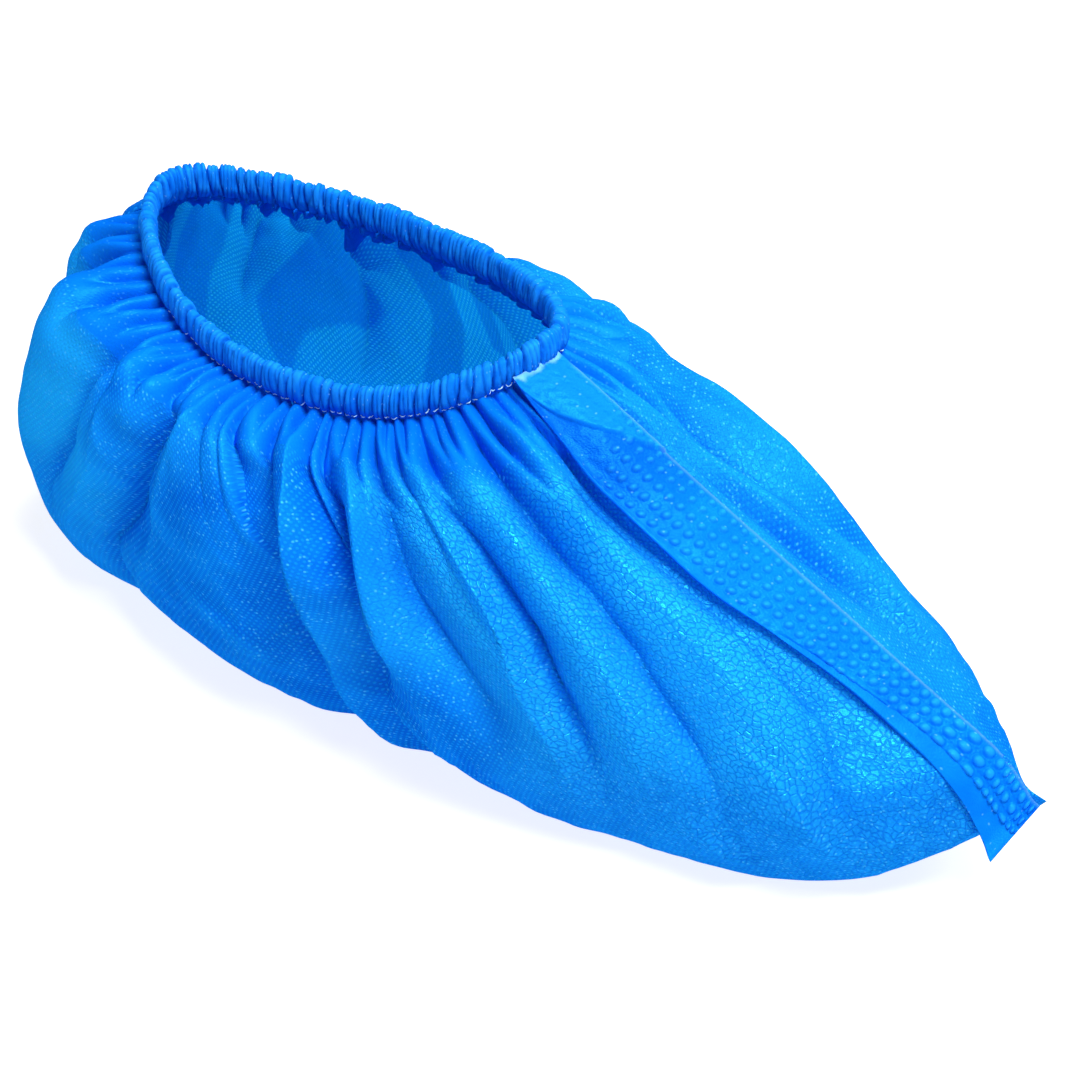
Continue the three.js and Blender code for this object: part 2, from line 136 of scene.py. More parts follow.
FAR_LINES = [
    (0.7, [(0.05, 0.02, -1), (0.14, 0.023, -2.4), (0.25, 0.033, -2.6), (0.39, 0.042, -1.8), (0.52, 0.05, 0)]),
    (0.0, [(0.05, 0.045, 1), (0.1, 0.05, 2.6), (0.17, 0.058, 3), (0.29, 0.058, 2.8), (0.46, 0.065, 0)]),
    (0.8, [(0.05, 0.088, -2), (0.09, 0.085, -3.4), (0.17, 0.085, -3.6), (0.25, 0.08, -3.2), (0.42, 0.09, 0)]),
    (0.2, [(0.05, 0.16, 1), (0.09, 0.17, 3.2), (0.17, 0.145, 3.8), (0.27, 0.125, 3.2), (0.46, 0.125, 0)]),
    (0.8, [(0.06, 0.21, -1), (0.18, 0.2, -3.4), (0.34, 0.175, -3), (0.52, 0.165, 0)]),
    (0.0, [(0.06, 0.26, 1), (0.2, 0.25, 4), (0.36, 0.235, 3.4), (0.58, 0.22, 0)]),
    (0.8, [(0.07, 0.34, -1), (0.2, 0.33, -4), (0.36, 0.31, -3.4), (0.6, 0.3, 0)]),
    (0.0, [(0.07, 0.42, 1), (0.2, 0.42, 4.6), (0.38, 0.41, 4.6), (0.62, 0.41, 0)]),
    (0.9, [(0.07, 0.5, -1), (0.2, 0.51, -4.6), (0.38, 0.52, -4.4), (0.62, 0.52, 0)]),
    (0.2, [(0.07, 0.58, 1), (0.2, 0.6, 4.4), (0.38, 0.62, 4.6), (0.62, 0.64, 0)]),
    (0.9, [(0.07, 0.66, -1), (0.2, 0.68, -4.6), (0.36, 0.69, -4.8), (0.5, 0.71, -3), (0.62, 0.74, 0)]),
    (0.1, [(0.07, 0.72, 1), (0.2, 0.74, 4), (0.36, 0.76, 4.6), (0.5, 0.77, 3), (0.64, 0.78, 0)]),
    (0.9, [(0.07, 0.79, -1), (0.2, 0.81, -4), (0.36, 0.83, -4.2), (0.52, 0.84, 0)]),
    (0.1, [(0.07, 0.85, 1), (0.2, 0.87, 3.2), (0.36, 0.885, 3.2), (0.54, 0.9, 0)]),
    (0.8, [(0.07, 0.92, -1), (0.18, 0.925, -2.8), (0.34, 0.935, -2.6), (0.52, 0.94, 0)]),
]
# Sharp creases on their own: side, then share of the side, way down and height of their points, and
# the widths of their flanks towards the toe and the heel.
CREASES = [
    (NEAR, [(0.088, 0.27, 0), (0.086, 0.36, 1.5), (0.084, 0.44, 2), (0.102, 0.5, 1.6), (0.113, 0.58, 0)],
     1.6, 7),
    (NEAR, [(0.155, 0.44, 0), (0.143, 0.53, 1.5), (0.14, 0.62, 1.6), (0.14, 0.76, 0)], 2.0, 10),
    (NEAR, [(0.235, 0.58, 0), (0.215, 0.66, 1.4), (0.2, 0.74, 0)], 2, 9),
    (NEAR, [(0.63, 0.48, 0), (0.61, 0.53, 1.4), (0.59, 0.56, 1.6), (0.57, 0.62, 0)], 2, 8),
    (NEAR, [(0.51, 0.52, 0), (0.47, 0.58, 1.4), (0.43, 0.62, 1.2), (0.4, 0.68, 0)], 3, 8),
    (NEAR, [(0.19, 0.14, 0), (0.2, 0.19, 1.6), (0.178, 0.24, 1.6), (0.17, 0.3, 0)], 1.6, 7),
    (NEAR, [(0.14, 0.13, 0), (0.13, 0.18, 1.5), (0.145, 0.23, 0)], 1.6, 6),
    (NEAR, [(0.2, 0.33, 0), (0.212, 0.42, 1.6), (0.24, 0.52, 1.5), (0.25, 0.6, 0)], 1.8, 9),
    (NEAR, [(0.09, 0.66, 0), (0.105, 0.72, 1.6), (0.13, 0.78, 1.6), (0.16, 0.86, 0)], 2, 8),
    (NEAR, [(0.06, 0.62, 0), (0.07, 0.7, 1.4), (0.085, 0.78, 0)], 1.6, 7),
    (FAR, [(0.3, 0.1, 0), (0.29, 0.2, 1.4), (0.27, 0.3, 0)], 2, 8),
    (FAR, [(0.085, 0.16, 0), (0.075, 0.28, 1.8), (0.06, 0.4, 1.8), (0.05, 0.52, 0)], 1.8, 8),
    (FAR, [(0.15, 0.12, 0), (0.13, 0.24, 1.8), (0.11, 0.36, 1.5), (0.1, 0.46, 0)], 1.8, 9),
]

# ---- casing, strips and thread -----------------------------------------------------------------
CASING_HEIGHT = 10.0
CASING_HALF = 2.1  # half thickness where it is fullest
STITCH_RISE = 1.6  # the stitching's height above the casing's lower edge
STITCH_LENGTH = 1.35
STITCH_PITCH = 2.15
THREAD_RADIUS = 0.15
# Width of the toe's welded allowance down its length.
STRIP_WIDTHS = [
    (0.0, 12), (0.06, 17), (0.15, 24), (0.26, 24.5), (0.35, 18), (0.45, 15), (0.7, 15.5), (1.0, 19),
]
STRIP_PITCH = 3.75
STRIP_THICKNESS = 0.55
HEEL_STRIP_WIDTH = 14.0

# ---- colours (scene linear) --------------------------------------------------------------------
BLUE = (0.0008, 0.112, 0.62)
BLUE_DEEP = (0.0003, 0.075, 0.50)
BLUE_PALE = (0.0015, 0.175, 0.76)
# painted light laid into the colour of the filmed vamp and heel
BLUE_PAINTED_LIGHT = (0.0200, 0.640, 1.0)
# the embossed dots' colour, also painted on to the folds' ridges as light
BLUE_DOT_AND_RIDGE_LIGHT = (0.0060, 0.340, 0.95)
BLUE_DOUBLED = (0.0008, 0.150, 0.78)  # where the cloth lies double
WELD_PALE = (0.14, 0.50, 0.97)
GLINT_BLUE = (0.07, 0.62, 1.0)
THROUGH_CLOTH, THROUGH_DOT = (0.001, 0.38, 0.94), (0.02, 0.74, 1.0)  # of the light that comes through
SHEEN_BLUE = (0.02, 0.44, 1.0)  # the cloth's own colour is in all that it reflects
THREAD_WHITE = (0.62, 0.97, 1.0)
THREAD_SHADE = (0.34, 0.72, 0.88)

RANDOM = np.random.default_rng(7)


# ---- curves ------------------------------------------------------------------------------------
def calm_curve(x, y):
    """A smooth curve through the points that never overshoots them."""
    x, y = np.asarray(x, float), np.asarray(y, float)
    step = np.diff(y) / np.diff(x)
    slope = np.zeros(len(x))
    slope[0], slope[-1] = step[0], step[-1]
    before, after = step[:-1], step[1:]
    same = before * after > 0
    slope[1:-1][same] = 2 * before[same] * after[same] / (before[same] + after[same])

    def at(place):
        place = np.asarray(place, float)
        i = np.clip(np.searchsorted(x, place) - 1, 0, len(x) - 2)
        span = x[i + 1] - x[i]
        t = np.clip((place - x[i]) / span, 0, 1)
        s = 1 - t
        ends = y[i] * (1 + 2 * t) * s * s + y[i + 1] * (3 - 2 * t) * t * t
        return ends + span * t * s * (slope[i] * s - slope[i + 1] * t)

    return at


def smooth(x):
    x = np.clip(x, 0, 1)
    return x * x * (3 - 2 * x)


def window(x, start, full, fade, end):
    """0 before start, 1 from full to fade and 0 again after end."""
    return smooth((x - start) / (full - start)) * smooth((end - x) / (end - fade))


# ---- noise -------------------------------------------------------------------------------------
LATTICE = 48
LATTICE_VALUES = RANDOM.uniform(-1, 1, (LATTICE, LATTICE, LATTICE))


def noise(points):
    """Smooth noise from -1 to 1 at points of any scale, changing over about one unit."""
    cell = np.floor(points).astype(int)
    f = smooth(points - cell)
    total = 0
    for dx in (0, 1):
        for dy in (0, 1):
            for dz in (0, 1):
                i, j, k = (np.mod(cell[..., n] + d, LATTICE) for n, d in enumerate((dx, dy, dz)))
                weight = np.ones(f.shape[:-1])
                for n, d in enumerate((dx, dy, dz)):
                    weight = weight * (f[..., n] if d else 1 - f[..., n])
                total = total + weight * LATTICE_VALUES[i, j, k]
    return total


def creased(points):
    """Noise with sharp ridges, as in crumpled cloth, about 0 on average."""
    return 0.45 - np.abs(noise(points)) * 1.6


# ---- the unfolded bag --------------------------------------------------------------------------
LEVEL_CURVES = {
    name: calm_curve([row[0] for row in LEVELS], [row[n] for row in LEVELS])
    for n, name in enumerate(LEVEL_COLUMNS)
}
OUTLINE = calm_curve(OUTLINE_ALONG, OUTLINE_SHARE)
SIDE_SAMPLES = 400
ALONG = (1 + np.cos(np.pi * np.arange(SIDE_SAMPLES + 1) / SIDE_SAMPLES)) / 2


def side_level(down, side):
    """One side of a level from toe to heel: its points and how far along it each one is."""
    row = {name: float(curve(down)) for name, curve in LEVEL_CURVES.items()}
    oval = np.sqrt(np.clip(4 * ALONG * (1 - ALONG), 0, 1))
    width = row["near" if side < 0 else "far"] * (oval + (OUTLINE(ALONG) - oval) * row["sole"])
    side_z = row["near_z" if side < 0 else "far_z"]
    end_z = np.where(ALONG > 0.5, row["toe_z"], row["heel_z"])
    climb = np.clip((np.abs(2 * ALONG - 1) - row["level"]) / (1 - row["level"]), 0, 1) ** RISE
    x = row["heel"] + (row["toe"] - row["heel"]) * ALONG
    points = np.stack([x, side * width, side_z + (end_z - side_z) * climb], -1)
    reach = np.concatenate([[0], np.cumsum(np.linalg.norm(np.diff(points, axis=0), axis=1))])
    return points, reach


def bag_grid(turns, downs):
    """Points of the unfolded bag, a row for each down, and the length of the side there."""
    side = np.where(turns <= 0.5, NEAR, FAR)
    share = np.where(side < 0, 2 * turns, 2 - 2 * turns)
    grid = np.zeros((len(downs), len(turns), 3))
    length = np.zeros((len(downs), len(turns)))
    for j, down in enumerate(downs):
        for which in (NEAR, FAR):
            points, reach = side_level(down, which)
            here = side == which
            length[j, here] = reach[-1]
            for n in range(3):
                grid[j, here, n] = np.interp(share[here] * reach[-1], reach, points[:, n])
    return grid, length


def outward(grid):
    """Unit normals of a grid that closes on itself across its columns."""
    across = np.roll(grid, -1, axis=1) - np.roll(grid, 1, axis=1)
    downward = np.gradient(grid, axis=0)
    normal = np.cross(across, downward)
    return normal / np.maximum(np.linalg.norm(normal, axis=-1, keepdims=True), 1e-9)


def smoothed_grid(grid, rounds):
    """The grid with its small folds evened out, its rim rows kept."""
    out = grid.copy()
    for _ in range(rounds):
        out = (np.roll(out, 1, axis=1) + np.roll(out, -1, axis=1) + 2 * out) / 4
        out[1:-1] = (out[:-2] + out[2:] + 2 * out[1:-1]) / 4
    return out


# ---- pleats ------------------------------------------------------------------------------------
def pleat_marks():
    """Turns of the valleys at each level of merging. Each level keeps some of the one above."""
    widths = RANDOM.uniform(0.5, 1.5, PLEATS)
    marks = np.concatenate([[0], np.cumsum(widths)[:-1] / widths.sum()])
    levels = [marks]
    for _ in PLEAT_LEVELS[1:]:
        kept, i = [], 0
        while i < len(marks):
            kept.append(marks[i])
            i += RANDOM.choice([1, 2, 2, 3])
        marks = np.array(kept)
        levels.append(marks)
    return levels


PLEAT_MARKS = pleat_marks()
PLEAT_STRENGTH = [RANDOM.uniform(0.65, 1.35, len(marks)) for marks in PLEAT_MARKS]
LOBE_POWER = 2.3


def lobes(turns, level, power=LOBE_POWER):
    """Rounded lobes between a level's valleys: their height, and the width of each as a turn."""
    marks = PLEAT_MARKS[level]
    turns = np.mod(turns, 1)
    i = np.searchsorted(marks, turns, side="right") - 1
    after = np.append(marks[1:], 1.0)
    width = (after - marks)[i]
    place = (turns - marks[i]) / width
    return (1 - np.abs(2 * place - 1) ** power) * PLEAT_STRENGTH[level][i], width


def pleat_relief(turns, downs, length, place):
    """Height of the merging pleats over the grid."""
    total = np.zeros(np.broadcast(turns, downs).shape)
    reach = PENDANT[NEAR] + (PENDANT[FAR] - PENDANT[NEAR]) * window(turns, *FAR_WINDOW)
    pendant = reach * window(downs, *PENDANT_WINDOW)
    wander = noise(place / 34.0) * 0.0035 * smooth(downs / 0.08)
    wander = wander + noise(place / 90.0 + 7) * 0.008 * smooth(downs / 0.2)
    for level, row in enumerate(PLEAT_LEVELS):
        lobe, width = lobes(turns + wander, level)
        strength = window(downs, row["start"], row["full"], row["fade"], row["end"])
        if level >= CALM_LEVEL:
            strength = strength * (1 - CALM_SHARE * window(turns, *CALM_PANEL))
        across = np.minimum(width * 2 * length, row["widest"])
        total += row["height"] * strength * across * (lobe - LOBE_MEAN)
    return total + pendant


# ---- folds -------------------------------------------------------------------------------------
FOLD_DEPTH = 1.6
CREASE_DEPTH = 1.7
STEEPNESS = 4.4  # slope of a fully sharp line against the straight way to its neighbour
FAR_FOLDS = 0.85  # the far side's folds against the near side's
FLOOR_GAP = 0.15  # the least height of any cloth
EVEN_ROUNDS = 45  # how much a grid is evened out to tell its valleys from its ridges


def line_relief(lines, shares, downs):
    """Height between ridges and valleys: rounded where a line is soft, creased where it is sharp."""
    sharp = np.array([0.0] + [line[0] for line in lines] + [0.0])
    where, height = [0 * downs], [0 * downs]
    for _, points in lines:
        at, place, rise = (np.array([p[n] for p in points], float) for n in range(3))
        where.append(calm_curve(at, place)(downs))
        height.append(calm_curve(at, rise)(downs) * smooth((downs - 0.03) / 0.07))
    where.append(0 * downs + 1)
    height.append(0 * downs)
    where, height = np.array(where), np.array(height)
    total = np.zeros((len(downs), len(shares)))
    for j in range(len(downs)):
        x, y = where[:, j], height[:, j]
        i = np.clip(np.searchsorted(x, shares, side="right") - 1, 0, len(x) - 2)
        t = (shares - x[i]) / (x[i + 1] - x[i])
        rise = y[i + 1] - y[i]
        bend = t * (1 - t) * (sharp[i] * STEEPNESS * (1 - t) - sharp[i + 1] * STEEPNESS * t)
        total[j] = y[i] + rise * (smooth(t) + bend * 0.5)
    return total


def crease_relief(side, share, downs, length):
    """Height of the single sharp creases, steepest at their line."""
    total = np.zeros(share.shape)
    for fold_side, points, toe_width, heel_width in CREASES:
        shares, at, heights = (np.array([p[n] for p in points], float) for n in range(3))
        line, rise = calm_curve(at, shares), calm_curve(at, heights)
        step = 0.01
        lean = (line(downs + step) - line(downs - step)) * length / (2 * step * FLAT_HEIGHT)
        away = (share - line(downs)) * length / np.sqrt(1 + lean**2)
        inside = (side == fold_side) & (downs >= at[0]) & (downs <= at[-1])
        across = np.abs(away) / np.where(away < 0, toe_width, heel_width)
        total += np.where(inside, rise(downs) * np.exp(-across), 0)
    return total


def crumple(place, turns, downs):
    """Small irregular creases: a crushed look all over and long soft wrinkles down the cloth."""
    angle = 2 * np.pi * turns + 0 * downs
    long_way = np.stack([np.cos(angle) * 9.5, np.sin(angle) * 9.5, downs * 4.2 + 0 * turns], -1)
    fine_way = np.stack([np.cos(angle) * 26, np.sin(angle) * 26, downs * 9 + 0 * turns], -1)
    soft = creased(long_way + 3) + noise(fine_way + 11) * 0.35
    small = creased(place / 17.0 + 5) * 0.55 + creased(place / 8.0) * 0.24 + noise(place / 3.6 + 9) * 0.07
    return 0.7 * soft * window(downs, 0.06, 0.2, 0.7, 0.98) + 0.75 * small * smooth((downs - 0.05) / 0.12)


def toe_crinkle(place, share, downs):
    """The crushed corner under the toe strip's end."""
    near_tip = smooth(1 - share / 0.16) * smooth((downs - 0.42) / 0.2)
    return near_tip * (creased(place / 11.0 + 2) * 1.2 + creased(place / 5.5 + 4) * 0.5)


def cloth_grid():
    """The bag as it stands, folds and all: turns, downs, points and normals of its grid."""
    turns = np.arange(COLUMNS) / COLUMNS
    even = np.linspace(0, 1, ROWS + 1)
    downs = even**1.12
    base, length = bag_grid(turns, downs)
    turn, down = np.broadcast_arrays(turns[None, :], downs[:, None])
    side = np.where(turn <= 0.5, NEAR, FAR)
    share = np.where(side < 0, 2 * turn, 2 - 2 * turn)
    seam = np.minimum(share, 1 - share) * length
    calm = smooth((seam - 1.5) / 10)
    off_floor = 0.1 + 0.9 * smooth((0.82 - down) / 0.14)
    near_folds = line_relief(NEAR_LINES, share[0], downs)
    far_folds = line_relief(FAR_LINES, share[0], downs) * FAR_FOLDS
    folds = np.where(side < 0, near_folds, far_folds)
    creases = crease_relief(side, share, down, length)
    relief = pleat_relief(turn, down, length, base) * smooth((seam + 3) / 8)
    relief += calm * off_floor * (FOLD_DEPTH * folds + CREASE_DEPTH * creases + crumple(base, turn, down))
    relief += smooth((seam - 1) / 5) * toe_crinkle(base, share, down)
    points = base + outward(base) * relief[..., None]
    # Depth below the evened cloth: it paints shade into the valleys and light on to the ridges of the colour.
    fold_shading = smoothed_grid(relief, EVEN_ROUNDS) - relief
    # The cloth under the sole lies on the floor.
    lying = smooth((down - 0.74) / 0.08)
    floor = FLOOR_GAP + 0.5 * np.abs(noise(base / 12.0))
    low = np.maximum(points[..., 2], FLOOR_GAP)
    points[..., 2] = np.where(base[..., 2] < 0.5, low * (1 - lying) + np.minimum(low, floor) * lying, low)
    return turns, downs, points, outward(points), fold_shading


# ---- from millimetres to the frame -------------------------------------------------------------
def shift_from_frame():
    """Where the tables' origin is in the frame, from the casing's own box."""
    low, high = (np.array(corner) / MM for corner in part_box("elastic_casing"))
    ring = dict(zip(LEVEL_COLUMNS, LEVELS[0]))
    middle = np.array([(ring["toe"] + ring["heel"]) / 2, (ring["far"] - ring["near"]) / 2])
    return np.append((low[:2] + high[:2]) / 2 - middle, 0.0)


SHIFT = shift_from_frame()


def mesh_object(name, points, faces, material, uvs=None, values=None):
    """A smooth mesh from points in millimetres. uvs and values belong to the points."""
    mesh = bpy.data.meshes.new(name)
    faces = faces.tolist() if hasattr(faces, "tolist") else faces
    mesh.from_pydata(((points + SHIFT) * MM).tolist(), [], faces)
    corners = np.zeros(len(mesh.loops), np.int64)
    mesh.loops.foreach_get("vertex_index", corners)
    if uvs is not None:
        layer = mesh.uv_layers.new(name="Cloth")
        layer.data.foreach_set("uv", np.asarray(uvs, np.float32)[corners].ravel())
    for label, numbers in (values or {}).items():
        attribute = mesh.attributes.new(label, "FLOAT", "POINT")
        attribute.data.foreach_set("value", np.asarray(numbers, np.float32).ravel())
    mesh.polygons.foreach_set("use_smooth", np.ones(len(mesh.polygons), bool))
    mesh.materials.append(material)
    mesh.update()
    made = bpy.data.objects.new(name, mesh)
    bpy.context.scene.collection.objects.link(made)
    return made


def grid_faces(rows, columns, closed, start=0):
    """Quads of a grid of points that face outwards on a grid from bag_grid()."""
    i = np.arange(columns if closed else columns - 1)
    j = np.arange(rows - 1)[:, None]
    right = (i + 1) % columns
    a, b = j * columns + i, j * columns + right
    c, d = (j + 1) * columns + right, (j + 1) * columns + i
    return np.stack([a, b, c, d], -1).reshape(-1, 4) + start


# ---- node tools --------------------------------------------------------------------------------
def put(tree, socket, value):
    if isinstance(value, bpy.types.NodeSocket):
        tree.links.new(value, socket)
    else:
        socket.default_value = value


def node(tree, kind, inputs=(), **settings):
    made = tree.nodes.new(kind)
    for name, value in settings.items():
        setattr(made, name, value)
    for key, value in dict(inputs).items():
        put(tree, made.inputs[key], value)
    return made


def maths(tree, operation, *values, clamp=False):
    made = node(tree, "ShaderNodeMath", operation=operation, use_clamp=clamp)
    for socket, value in zip(made.inputs, values):
        put(tree, socket, value)
    return made.outputs[0]


def product(tree, *values):
    """All the values multiplied together."""
    made = values[0]
    for value in values[1:]:
        made = maths(tree, "MULTIPLY", made, value)
    return made


def vectors(tree, operation, *values):
    made = node(tree, "ShaderNodeVectorMath", operation=operation)
    for socket, value in zip(made.inputs, values):
        put(tree, socket, value)
    return made.outputs["Value" if operation in ("LENGTH", "DOT_PRODUCT") else "Vector"]


def scaled(tree, vector, factor):
    made = node(tree, "ShaderNodeVectorMath", operation="SCALE")
    put(tree, made.inputs[0], vector)
    put(tree, made.inputs["Scale"], factor)
    return made.outputs[0]


def cloud_noise(tree, place, scale, detail, roughness=0.5):
    """Flat noise over the cloth, whose colour and value both serve."""
    return node(tree, "ShaderNodeTexNoise", {
        "Vector": place, "Scale": scale, "Detail": detail, "Roughness": roughness,
    }, noise_dimensions="2D")


def cell_pattern(tree, place, scale, feature):
    return node(tree, "ShaderNodeTexVoronoi", {"Vector": place, "Scale": scale},
                feature=feature, voronoi_dimensions="2D")


def ramp(tree, value, low, high, start=0.0, end=1.0):
    """value eased from start at low to end at high."""
    made = node(tree, "ShaderNodeMapRange", interpolation_type="SMOOTHSTEP")
    given = {"Value": value, "From Min": low, "From Max": high, "To Min": start, "To Max": end}
    for key, number in given.items():
        put(tree, made.inputs[key], number)
    return made.outputs["Result"]


def blend(tree, factor, a, b):
    made = node(tree, "ShaderNodeMix", data_type="RGBA")
    for socket, value in ((made.inputs[0], factor), (made.inputs[6], a), (made.inputs[7], b)):
        put(tree, socket, value)
    return made.outputs[2]


def rgba(colour):
    return (*colour, 1.0)


def new_group(name, inputs, outputs):
    tree = bpy.data.node_groups.new(name, "ShaderNodeTree")
    for label, kind, value in inputs:
        socket = tree.interface.new_socket(name=label, in_out="INPUT", socket_type=kind)
        if value is not None:
            socket.default_value = value
    for label, kind in outputs:
        tree.interface.new_socket(name=label, in_out="OUTPUT", socket_type=kind)
    return tree, tree.nodes.new("NodeGroupInput").outputs, tree.nodes.new("NodeGroupOutput").inputs


def placed(tree, group, **inputs):
    made = node(tree, "ShaderNodeGroup", node_tree=group)
    for label, value in inputs.items():
        put(tree, made.inputs[label.replace("_", " ")], value)
    return made.outputs


VALUE, VECTOR = "NodeSocketFloat", "NodeSocketVector"


# ---- shared effects ----------------------------------------------------------------------------
def embossed_dots():
    """The calender's fine diamond grid of dots, on the flat cloth."""
    tree, given, out = new_group(
        "embossed dots",
        [("Cloth", VECTOR, None), ("Pitch", VALUE, 0.0017), ("Size", VALUE, 0.3)],
        [("Dots", VALUE)],
    )
    turned = node(tree, "ShaderNodeVectorRotate", {"Vector": given["Cloth"], "Angle": math.radians(45)},
                  rotation_type="Z_AXIS")
    cells = scaled(tree, turned.outputs[0], maths(tree, "DIVIDE", 1.0, given["Pitch"]))
    within = vectors(tree, "SUBTRACT", vectors(tree, "FRACTION", cells), (0.5, 0.5, 0.0))
    flat = vectors(tree, "MULTIPLY", within, (1.0, 1.0, 0.0))
    away = vectors(tree, "LENGTH", flat)
    foot, top = product(tree, given["Size"], 1.25), product(tree, given["Size"], 0.55)
    put(tree, out["Dots"], ramp(tree, away, foot, top))
    return tree


def film_crackle():
    """Fine cracks in the film on the cloth, as in leather: the lines, and a value for each cell."""
    tree, given, out = new_group(
        "film crackle",
        [("Place", VECTOR, None), ("Cell", VALUE, 0.0024), ("Line", VALUE, 0.12)],
        [("Cracks", VALUE), ("Cells", VALUE)],
    )
    bent = cloud_noise(tree, given["Place"], 300.0, 1.0)
    push = vectors(tree, "SUBTRACT", bent.outputs["Color"], (0.5, 0.5, 0.5))
    place = vectors(tree, "ADD", given["Place"], scaled(tree, push, 0.0016))
    scale = maths(tree, "DIVIDE", 1.0, given["Cell"])
    edge = cell_pattern(tree, place, scale, "DISTANCE_TO_EDGE")
    cell = cell_pattern(tree, place, scale, "F1")
    put(tree, out["Cracks"], ramp(tree, edge.outputs["Distance"], given["Line"], 0.0))
    put(tree, out["Cells"], node(tree, "ShaderNodeSeparateColor", {0: cell.outputs["Color"]}).outputs[0])
    return tree


def cloth_mottle():
    """Uneven blue of the fibre web: cloudy patches and fine fibres."""
    tree, given, out = new_group(
        "cloth mottle",
        [("Place", VECTOR, None), ("Clouds", VALUE, 60.0)],
        [("Patches", VALUE), ("Fibres", VALUE)],
    )
    clouds = cloud_noise(tree, given["Place"], given["Clouds"], 2.0, 0.6)
    fibres = cloud_noise(tree, given["Place"], 1900.0, 1.0)
    put(tree, out["Patches"], ramp(tree, clouds.outputs["Fac"], 0.33, 0.67))
    put(tree, out["Fibres"], ramp(tree, fibres.outputs["Fac"], 0.35, 0.68))
    return tree


def flecks():
    """Small bright points where the bonded spots catch the light."""
    tree, given, out = new_group(
        "bright flecks",
        [("Place", VECTOR, None), ("Spacing", VALUE, 0.0013), ("Amount", VALUE, 0.15)],
        [("Flecks", VALUE)],
    )
    scale = maths(tree, "DIVIDE", 1.0, given["Spacing"])
    spots = cell_pattern(tree, given["Place"], scale, "F1")
    chosen = node(tree, "ShaderNodeSeparateColor", {0: spots.outputs["Color"]}).outputs[1]
    lit = maths(tree, "LESS_THAN", chosen, given["Amount"])
    put(tree, out["Flecks"], product(tree, lit, ramp(tree, spots.outputs["Distance"], 0.3, 0.1)))
    return tree


EMBOSS, CRACKLE, MOTTLE, FLECKS = embossed_dots(), film_crackle(), cloth_mottle(), flecks()


# ---- materials ---------------------------------------------------------------------------------
def new_material(name):
    material = bpy.data.materials.new(name)
    material.use_nodes = True
    tree = material.node_tree
    tree.nodes.clear()
    return material, tree, node(tree, "ShaderNodeOutputMaterial").inputs["Surface"]


def attributes(tree, *names):
    """Values that the mesh carries at its points."""
    return [node(tree, "ShaderNodeAttribute", attribute_name=name).outputs["Fac"] for name in names]


def cloth_surface(tree, surface, colour, roughness, normal, through, glow, gloss=0.05):
    """The front of the cloth with its blue gloss, mixed with the light that comes through it."""
    front = node(tree, "ShaderNodeBsdfPrincipled", {
        "Base Color": colour, "Roughness": 0.8, "Normal": normal, "Specular IOR Level": 0.0,
    })
    shine = node(tree, "ShaderNodeBsdfGlossy", {
        "Color": rgba(SHEEN_BLUE), "Roughness": roughness, "Normal": normal,
    })
    back = node(tree, "ShaderNodeBsdfTranslucent", {"Color": glow, "Normal": normal})
    glossy = node(tree, "ShaderNodeMixShader", {0: gloss, 1: front.outputs[0], 2: shine.outputs[0]})
    cloth = node(tree, "ShaderNodeMixShader", {0: through, 1: glossy.outputs[0], 2: back.outputs[0]})
    put(tree, surface, cloth.outputs[0])


